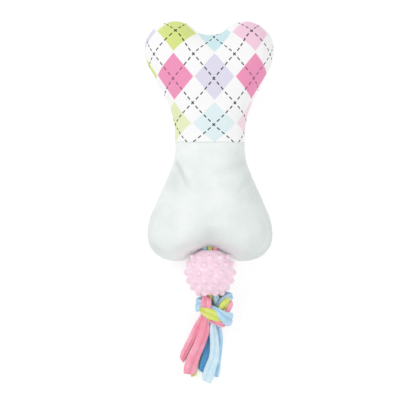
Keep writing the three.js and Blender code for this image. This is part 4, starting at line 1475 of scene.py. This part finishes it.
rubber = Finish("soft_rubber")
bloom = rubber.noise(BLOOM_SIZE)
soft_rubber = rubber.surface(
    Base_Color=rubber.mix(bloom, tint(255, 212, 230), tint(255, 227, 240)),
    Roughness=rubber.ease(bloom, 0.3, 0.7, *RUBBER_ROUGH),
    Normal=rubber.bump(rubber.noise(0.9 * MM), 0.04, 0.2 * MM),
    Subsurface_Weight=0.25,
    Subsurface_Radius=(1.0, 0.5, 0.6),
    Subsurface_Scale=3 * MM,
    Coat_Weight=0.7,
    Coat_Roughness=0.12,
)

spike_points = []
spike_height = BALL_REACH + MELT_LOSS - SPIKE_RADIUS * SPIKE_STRETCH
for k in range(SPIKE_ROWS + LOWER_ROWS):
    row_turn = math.pi / 2 + (k - (SPIKE_ROWS - 1) / 2) * SPIKE_ROW_PITCH / BALL_RADIUS
    level, girth = math.cos(row_turn), math.sin(row_turn)
    count = round(2 * math.pi * BALL_RADIUS * girth / SPIKE_PITCH)
    for j in range(count):
        turn = 2 * math.pi * (j + (k % 2) / 2) / count
        way = Vector((girth * math.sin(turn), level, girth * math.cos(turn)))
        spike_points.append(Vector(BALL) + way * spike_height)
spikes = make_piece("spikes", [tuple(p) for p in spike_points], [], soft_rubber)
tree, identifiers = spike_tree()
grower = spikes.modifiers.new("spikes", "NODES")
grower.node_group = tree
grower[identifiers["Spike radius"]] = SPIKE_RADIUS * MM
grower[identifiers["Spike stretch"]] = SPIKE_STRETCH
grower[identifiers["Middle"]] = [c * MM for c in BALL]
grower[identifiers["Material"]] = soft_rubber
grown = shown_mesh(spikes)
bpy.data.objects.remove(spikes)

shell_points, shell_faces = lathe(shell_profile, SHELL_SIDES, BALL)
ball = make_piece("rubber_ball", shell_points, shell_faces, soft_rubber)
welded_ball = bmesh.new()
welded_ball.from_mesh(ball.data)
bmesh.ops.recalc_face_normals(welded_ball, faces=welded_ball.faces)
welded_ball.from_mesh(grown)
welded_ball.to_mesh(ball.data)
welded_ball.free()
melt = ball.modifiers.new("melt", "REMESH")
melt.mode = "VOXEL"
melt.voxel_size = MELT_VOXEL * MM
melt.use_smooth_shade = True
soften = ball.modifiers.new("soften", "SMOOTH")
soften.factor = SOFTEN_SHARE
soften.iterations = SOFTEN_PASSES
melted = shown_mesh(ball)
ball.modifiers.clear()
ball.data = melted
ball.data.materials.clear()
ball.data.materials.append(soft_rubber)
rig.ride(ball, "ball")
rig.replaces(ball, "spiky_ball")
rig.slot(ball, "soft_rubber")
print("spikes", len(spike_points), "ball faces", len(ball.data.polygons))

# %% [markdown]
# Three fleece strands, blue, lime and pink, are sewn into the lower seam and run through the ball.
# Knitted fleece has fine ribs along it and rows across it, and a fuzz that blurs both. The finish
# reads the strand's own UV map, whose first number runs across the cloth and whose second runs along.

# %% Fleece
RIB_PITCH = 1.1
ROW_PITCH = 0.8
FUZZ_SIZE = 0.9 * MM
PATCH_SIZE = 7 * MM
KNIT_DEPTH = 0.45 * MM
FLEECE_ROUGH = (0.85, 0.97)
# Painted shade in a crease, and colours deep in the pile and on top of it
FLEECES = {
    "pink": (tint(218, 96, 124), tint(253, 139, 167), tint(255, 198, 216)),
    "lime": (tint(184, 188, 44), tint(216, 233, 74), tint(243, 249, 158)),
    "blue": (tint(112, 176, 224), tint(163, 217, 249), tint(222, 243, 254)),
    # The next two are the same blue fleece with painted light and painted shade: lighter for the front tail, darker for
    # the back tail in shadow
    "blue_painted_light": (tint(158, 208, 240), tint(194, 234, 253), tint(234, 250, 255)),
    "blue_painted_shade": (tint(44, 116, 178), tint(76, 158, 216), tint(122, 194, 238)),
}


def fleece(name, crease, deep, light):
    """A knitted finish in one colour."""
    knit = Finish(name)
    across, along = knit.pattern()
    ribs = (across * (2 * math.pi / RIB_PITCH)).sine()
    rows_across = (along * (2 * math.pi / ROW_PITCH) + ribs * 1.2).sine()
    fuzz = knit.noise(FUZZ_SIZE, 4.0, 0.65)
    patch = knit.noise(PATCH_SIZE)
    share = knit.ease(fuzz * 0.5 + patch * 0.35 + ribs * 0.06 + rows_across * 0.04, 0.22, 0.62)
    # The pressed attribute holds painted shade in grooves and creases
    fleece_crease_shade = knit.node("ShaderNodeAttribute", {"attribute_name": "pressed"}, output="Fac")
    return knit.surface(
        Base_Color=knit.mix(fleece_crease_shade, knit.mix(share, deep, light), crease),
        Roughness=knit.ease(fuzz, 0.3, 0.7, *FLEECE_ROUGH),
        Normal=knit.bump(fuzz * 0.8 + ribs * 0.18 + rows_across * 0.14, 0.45, KNIT_DEPTH),
        Sheen_Weight=0.25,
        Sheen_Roughness=0.5,
        Specular_IOR_Level=0.15,
    )


fleeces = {name: fleece(f"{name}_fleece", *colours) for name, colours in FLEECES.items()}
print("fleece", list(fleeces))

# %% [markdown]
# A strand is a tube along a route. A smooth curve runs through a few chosen places, and a section is
# laid across it at every step: an oval, a little squared, with a groove down each flat side, as a
# folded strip has. The groove also gets painted shade. The section's width keeps to a way that is given for each step.

# %% Tubes along a route
SECTION_SIDES = 20
SECTION_SQUARE = 0.8
GROOVE_WIDTH = 0.25


def through(points, count):
    """A smooth curve through the points, with as many points as asked."""
    points = np.asarray(points, float)
    last = len(points) - 1
    t = np.linspace(0, last, count)
    k = np.minimum(t.astype(int), last - 1)
    f = (t - k)[:, None]
    b, c = points[k], points[k + 1]
    a = np.where((k == 0)[:, None], 2 * b - c, points[np.maximum(k - 1, 0)])
    d = np.where((k == last - 1)[:, None], 2 * c - b, points[np.minimum(k + 2, last)])
    second = 2 * a - 5 * b + 4 * c - d
    third = 3 * b - a - 3 * c + d
    return (2 * b + (c - a) * f + second * f**2 + third * f**3) / 2


def frames_along(route, ways):
    """The direction along a route, its width's direction and its thickness's direction."""
    along = unit(np.gradient(route, axis=0))
    wide = unit(ways - (ways * along).sum(1)[:, None] * along)
    return along, wide, np.cross(along, wide)


def soft_tube(route, ways, half_widths, half_depths, groove=0.0):
    """Points, faces, pattern places and the painted shade in the grooves of a closed tube."""
    _, wide, deep = frames_along(route, ways)
    turns = 2 * math.pi * np.arange(SECTION_SIDES) / SECTION_SIDES
    corner = np.c_[np.cos(turns), np.sin(turns)]
    corner = np.sign(corner) * np.abs(corner) ** SECTION_SQUARE
    in_groove = bell(corner[:, 0], GROOVE_WIDTH)
    corner[:, 1] *= 1 - groove * in_groove
    run = run_along(route)
    points, places = [], []
    for k in range(len(route)):
        across = np.outer(corner[:, 0] * half_widths[k], wide[k])
        points.append(route[k] + across + np.outer(corner[:, 1] * half_depths[k], deep[k]))
        girth = math.pi * (half_widths[k] + half_depths[k])
        places.append(np.c_[girth * np.abs(turns / math.pi - 1), np.full(SECTION_SIDES, run[k])])
    last_ring = SECTION_SIDES * (len(route) - 1)
    faces = quads(len(route), SECTION_SIDES, columns_closed=True)
    faces.append(tuple(reversed(range(SECTION_SIDES))))
    faces.append(tuple(range(last_ring, last_ring + SECTION_SIDES)))
    crease_shade_values = np.tile(groove * in_groove, len(route))
    return np.concatenate(points), faces, np.concatenate(places), crease_shade_values


print("tube helper")

# %% [markdown]
# Inside the ball the strands twist by half a turn, so their order changes sides. They are sewn into the
# seam at one end and swing with the ball, so each is blended between the bone and its core.

# %% Strands through the ball
SWAY = joint_at["knot_sway"]
SEAM_EXIT = SWING_PIVOT[1] + 2.2
ANCHOR_END = SEAM_EXIT + 12
CORE_END = SWAY[1] - 0.5
BEND_FROM = SEAM_EXIT + 1
BEND_TO = SWING_PIVOT[1] - 3
STRAND_PITCH = 4.15
STRAND_HALF = 2.05
CORE_STEPS = 40
# Colour, and which side of the middle it leaves the seam on
STRANDS = [("blue", -1), ("lime", 0), ("pink", 1)]

core_run = np.linspace(ANCHOR_END, CORE_END, CORE_STEPS)
core_turn = math.pi * ease(SWING_PIVOT[1] - core_run, 0, SWING_PIVOT[1] - SWAY[1])
core_way = np.c_[np.cos(core_turn), np.zeros(CORE_STEPS), np.sin(core_turn)]
core_half = np.full(CORE_STEPS, STRAND_HALF)
bend_start = (0, BEND_FROM * MM, SEAM_HEIGHT * MM)
bend_end = (0, BEND_TO * MM, SEAM_HEIGHT * MM)
for name, side in STRANDS:
    middle_line = np.c_[np.zeros(CORE_STEPS), core_run, np.full(CORE_STEPS, SEAM_HEIGHT)]
    route = middle_line + side * STRAND_PITCH * core_way
    tube_points, tube_faces, *tube_values = soft_tube(route, core_way, core_half, core_half)
    cord = make_piece(f"{name}_cord", tube_points, tube_faces, fleeces[name], *tube_values)
    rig.blend(cord, "bone", "core", bend_start, bend_end)
    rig.replaces(cord, f"{name}_anchor", f"{name}_core")
    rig.slot(cord, f"{name}_fleece")
print("cords", len(STRANDS))

# %% [markdown]
# Below the ball the strands are tied in one overhand knot. Each strand goes down behind, round the right
# lobe, across the front, round the left lobe and the back, and at last down through the middle.
# Pulled tight, a strand spreads into a flat band where it shows. So every point of a route has a half
# width, and the band's flat side faces away from the knot's middle.

# %% Knot
# Places from the ball's lower mouth, each with the strand's half width there
KNOT_ROUTES = {
    "pink": [
        (-4.1, 0.5, 0, 2.2), (-3.3, -3.5, 2.2, 4.5), (-3.3, -7.2, 3.6, 4.8), (-3, -10.8, 1.2, 4.3),
        (-2.4, -13.2, -3.2, 3), (-1.5, -15.5, -10, 2.2), (-2.7, -16.3, -15, 2), (2.7, -21.9, -17.8, 2),
        (10.4, -24.3, -17, 2), (13, -22, -12, 2), (13, -22.2, -6, 2), (11.5, -23.2, -1, 2.1),
        (10.5, -23.8, 0.8, 2.2), (6.5, -22.6, 2, 2.1), (3, -21, 1.6, 2), (-1.5, -18, -0.2, 2),
        (-5, -14.5, -1.5, 2), (-7.6, -11, -5.5, 2), (-8, -10.9, -13.2, 2), (-1.8, -8.9, -17.4, 2),
        (6.5, -7.4, -17.4, 2), (13.6, -6.4, -14.8, 2), (17, -6.9, -8.8, 2), (17.4, -6.4, -5, 2),
        (16.6, -9, -3.4, 2.4), (14.6, -12.8, -4, 3.0), (10.6, -16.3, -5.4, 2.8), (3.8, -14.8, -9.4, 2),
        (-4.4, -17, -8.6, 2),
    ],
    "lime": [
        (0, 0.5, 0, 2), (-0.8, -3.5, -3.6, 2), (0, -8.8, -9.4, 2), (0.8, -14.2, -15, 2),
        (4.6, -18.2, -17.8, 2), (10.8, -20.2, -17, 2), (14.2, -19.5, -12.4, 2), (14.4, -19.6, -6, 2),
        (11.5, -20, -0.4, 2), (8.3, -19.4, 2.4, 1.8), (5, -17.6, 3.6, 3.3), (1, -15.3, 4.3, 4.5),
        (-3.2, -13.3, 3.4, 3.9), (-6.6, -11.4, -0.6, 2.6), (-8.4, -9.6, -6, 2), (-7.6, -6.8, -12.5, 2),
        (-2.6, -4.8, -17.4, 2), (5.5, -3.4, -17.4, 2), (12.6, -2.6, -14.4, 2), (16, -3.2, -8, 3.2),
        (14.4, -6.2, -2.7, 5.2), (10.8, -9.4, -2.1, 5.4), (7.4, -12.6, -4.2, 2.8), (3.8, -15.2, -6.4, 2),
        (0.4, -18.4, -7.3, 2), (-1.8, -20.2, -8.6, 2),
    ],
    "blue": [
        (4.1, 0.5, 0, 2.1), (5.2, -2.5, -0.8, 2.7), (4, -6, -5.5, 2.3), (3.4, -9, -10, 2),
        (4.3, -12.1, -15, 2), (6.5, -14.5, -17.8, 2), (11.2, -16, -17, 2.4), (16.6, -19.2, -13, 4.2),
        (17.5, -19.5, -6.5, 5.2), (15.5, -19.5, 0.2, 5.8), (10.8, -16.3, 3.6, 4.3), (6.4, -12.2, 4, 2.4),
        (2.4, -9.6, 2.6, 1.6), (-2.5, -7.6, 0.6, 1.8), (-7, -6.2, -0.8, 3), (-10, -7.4, -4.6, 6.2),
        (-9.6, -5.6, -11.5, 3.6), (-3.4, -0.7, -17.4, 2), (4.4, 0.6, -17.4, 2), (11.2, 1.3, -14, 2.2),
        (17.4, -0.5, -8.5, 2.8), (15, -1.4, -3.6, 3), (11.3, -3, -2.2, 2.6), (7.8, -6, -3.6, 1.9),
        (5.2, -9.4, -5.5, 2), (4, -15, -7, 2), (2.5, -20, -8.2, 2), (0.8, -23.4, -8.6, 2),
    ],
}
KNOT_MIDDLE = np.array((2, -12, -7))
KNOT_OUT = np.array((1, 0.35, 1))
RINGS_BETWEEN = 12
STRAND_DEPTH = 2.0
# The groove is pressed into the shape and also painted darker, as painted shade
STRAND_GROOVE = 0.42
LEAST_HALF_WIDTH = 1.5

for name, _ in STRANDS:
    given = np.array(KNOT_ROUTES[name], float)
    rings = RINGS_BETWEEN * (len(given) - 1)
    line = through(given[:, :3], rings)
    half_width = np.maximum(through(given[:, 3:], rings)[:, 0], LEAST_HALF_WIDTH)
    along = unit(np.gradient(line, axis=0))
    ways = unit(np.cross(along, (line - KNOT_MIDDLE) * KNOT_OUT))
    for _ in range(2 * RINGS_BETWEEN):
        ways[1:-1] = (ways[:-2] + 2 * ways[1:-1] + ways[2:]) / 4
    tube_points, tube_faces, *tube_values = soft_tube(
        line + SWAY, ways, half_width, np.full(rings, STRAND_DEPTH), STRAND_GROOVE
    )
    strand = make_piece(f"{name}_tied_strand", tube_points, tube_faces, fleeces[name], *tube_values)
    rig.ride(strand, "knot")
    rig.replaces(strand, f"{name}_knot")
    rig.slot(strand, f"{name}_fleece")
    print(strand.name, "rings", rings)

# %% [markdown]
# Six tails hang out of the knot. A strip of cut fleece curls up along its edges, so each tail is a flat
# strip rolled into an oval with its edges underneath. It is declared as a sheet with the width and
# length that it was cut to. Its root lies hidden in the knot, and it bends there as it is lifted.

# %% Tails
# Body, fleece, record slot, widths over the curl below the knot and at the end, how much further the
# right edge reaches than the middle, and the route from the ball's lower mouth
TAILS = [
    ("pink_left", "pink", "pink_fleece", 6.0, 6.8, 1.4, [
        (-4.2, -13.5, -7.4), (-6.6, -18.8, -9.8), (-10.6, -27, -12.4), (-16.2, -38.9, -17),
        (-21.2, -48.9, -19.1), (-24, -54.8, -19.3),
    ]),
    ("pink_front", "pink", "pink_fleece", 8.2, 12.0, -0.6, [
        (-1.2, -16.5, -7.2), (-3, -22.2, -9.8), (-4.6, -29.2, -11.4), (-8.6, -40.9, -13.6),
        (-14.2, -53.9, -14.6), (-17.6, -66.4, -14.8),
    ]),
    # The front tail takes the blue with painted light
    ("blue_front", "blue_painted_light", "blue_fleece", 7.0, 9.8, 0.4, [
        (3.0, -20.5, -7.2), (2.6, -27, -9.8), (3.3, -33, -12), (4, -42.9, -14.4),
        (3.3, -52.9, -14.8), (0.2, -61.9, -14.8), (-3.0, -72.8, -14.8),
    ]),
    ("lime", "lime", "lime_fleece", 6.0, 6.4, -0.8, [
        (-1.6, -17.0, -12.2), (-3, -23.2, -14.5), (-6.8, -34, -18.4), (-10.8, -46.9, -19.6),
        (-13.4, -58, -19.6), (-13.4, -68.4, -19.6),
    ]),
    # The back tail takes the blue with painted shade
    ("blue_back", "blue_painted_shade", "blue_fleece", 7.2, 7.4, 1.2, [
        (2.8, -20.0, -12.2), (2, -26, -14.5), (0.3, -35, -18.4), (-2.4, -47.9, -19.6),
        (-7.4, -64.6, -19.6),
    ]),
    ("blue_right", "blue", "blue_fleece", 6.2, 6.4, 0.3, [
        (6.6, -22.5, -13.4), (7.3, -28, -15), (8, -35.5, -18.2), (7.7, -45.2, -19.6),
        (6.4, -55.2, -19.6), (5, -69, -19.6),
    ]),
]
TAIL_STEPS = 60
TAIL_DEPTH = 4.4
TAIL_ROOT = 4.2
TAIL_TAPER = 16
TAIL_END = 0.22
TAIL_END_RUN = 8
SLANT_RUN = 10
# Size of a wave along the tail, its length in millimetres a radian and its shift from tail to tail
WIDTH_WAVE = (0.05, 11, 1.7)
ROLL_WAVE = (math.radians(9), 17, 2.3)
CREASE_WAVE = (0.3, 23, 1.0)
HINGE_BEFORE = 2
HINGE_AFTER = 5
CURL_SIDES = 32
CURL_SHARE = 0.86
CURL_CREASE = 0.3
CREASE_WIDTH = 0.22
CREASE_PAINTED_SHADE = 0.35
FLEECE_THICKNESS = 0.8


def curl(width, depth, crease_at):
    """Points of an oval's rim from one cut edge underneath round the top to the other, and its crease."""
    turns = np.linspace(-CURL_SHARE * math.pi, CURL_SHARE * math.pi, CURL_SIDES) + math.pi / 2
    corner = np.c_[np.cos(turns), np.sin(turns)]
    crease = bell(corner[:, 0] - crease_at, CREASE_WIDTH) * (corner[:, 1] > 0)
    corner[:, 1] -= CURL_CREASE * crease
    return corner * (width / 2, depth / 2), crease


def wave(run, order, much, length, shift):
    """A gentle wave along a tail, at another place of its swing in each tail."""
    return much * np.sin(run / length + shift * order)


for order, (name, colour, slot, start_width, end_width, slant, places_of) in enumerate(TAILS):
    route = through(places_of, TAIL_STEPS) + SWAY
    run = run_along(route)
    roll = wave(run, order, *ROLL_WAVE)
    crease_at = wave(run, order, *CREASE_WAVE)
    along, wide, deep = frames_along(route, np.c_[np.cos(roll), np.zeros(TAIL_STEPS), np.sin(roll)])
    full = start_width + (end_width - start_width) * run / run[-1]
    full *= 1 + wave(run, order, *WIDTH_WAVE)
    full *= 1 - TAIL_END * ease(run, run[-1] - TAIL_END_RUN, run[-1]) ** 2
    widths = TAIL_ROOT + (full - TAIL_ROOT) * ease(run, 0, TAIL_TAPER)
    slanted = slant * ease(run, run[-1] - SLANT_RUN, run[-1])
    points, places, crease_shade_values, girths = [], [], [], []
    for k in range(TAIL_STEPS):
        oval, crease = curl(widths[k], TAIL_DEPTH, crease_at[k])
        # The crease along the top of the curl is also painted darker: painted shade
        crease_shade_values.append(CREASE_PAINTED_SHADE * crease)
        ring = route[k] + np.outer(oval[:, 0], wide[k]) + np.outer(oval[:, 1], deep[k])
        points.append(ring + np.outer(oval[:, 0] / widths[k] * 2 * slanted[k], along[k]))
        girth = run_along(oval)
        girths.append(girth[-1])
        places.append(np.c_[girth, np.full(CURL_SIDES, run[k])])
    strip_points, *strip_values = [np.concatenate(values) for values in (points, places, crease_shade_values)]
    strip_faces = quads(TAIL_STEPS, CURL_SIDES)
    tail = make_piece(f"{name}_strip", strip_points, strip_faces, fleeces[colour], *strip_values)
    thicken(tail, FLEECE_THICKNESS)
    strip_size = (float(np.mean(girths)) * MM, float(run[-1]) * MM)
    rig.sheet(tail, flat=strip_size, held="gathered", rests_on=[f"{slot.split('_')[0]}_tied_strand"])
    hinge = SWAY + np.array(places_of[1])
    ahead = np.array(places_of[2]) - np.array(places_of[1])
    ahead /= np.linalg.norm(ahead)
    bend_start = (hinge - HINGE_BEFORE * ahead) * MM
    bend_end = (hinge + HINGE_AFTER * ahead) * MM
    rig.blend(tail, "knot", name, bend_start, bend_end)
    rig.replaces(tail, f"{name}_tail")
    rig.slot(tail, slot)
    print(tail.name, "strip", np.round(strip_size, 4))

# %% [markdown]
# Last, the box round everything that shows is written down beside the box of the solids. The scene only
# dresses those solids, so the two should agree to within a few millimetres of cloth.

# %% Sizes and finish
visual_box = [list(corner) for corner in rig.bounds()]
with open("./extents.json", "w") as sizes:
    json.dump({"cad": cad_box, "visual": visual_box}, sizes)
print("cad", np.round(cad_box, 4).tolist(), "visual", np.round(visual_box, 4).tolist())
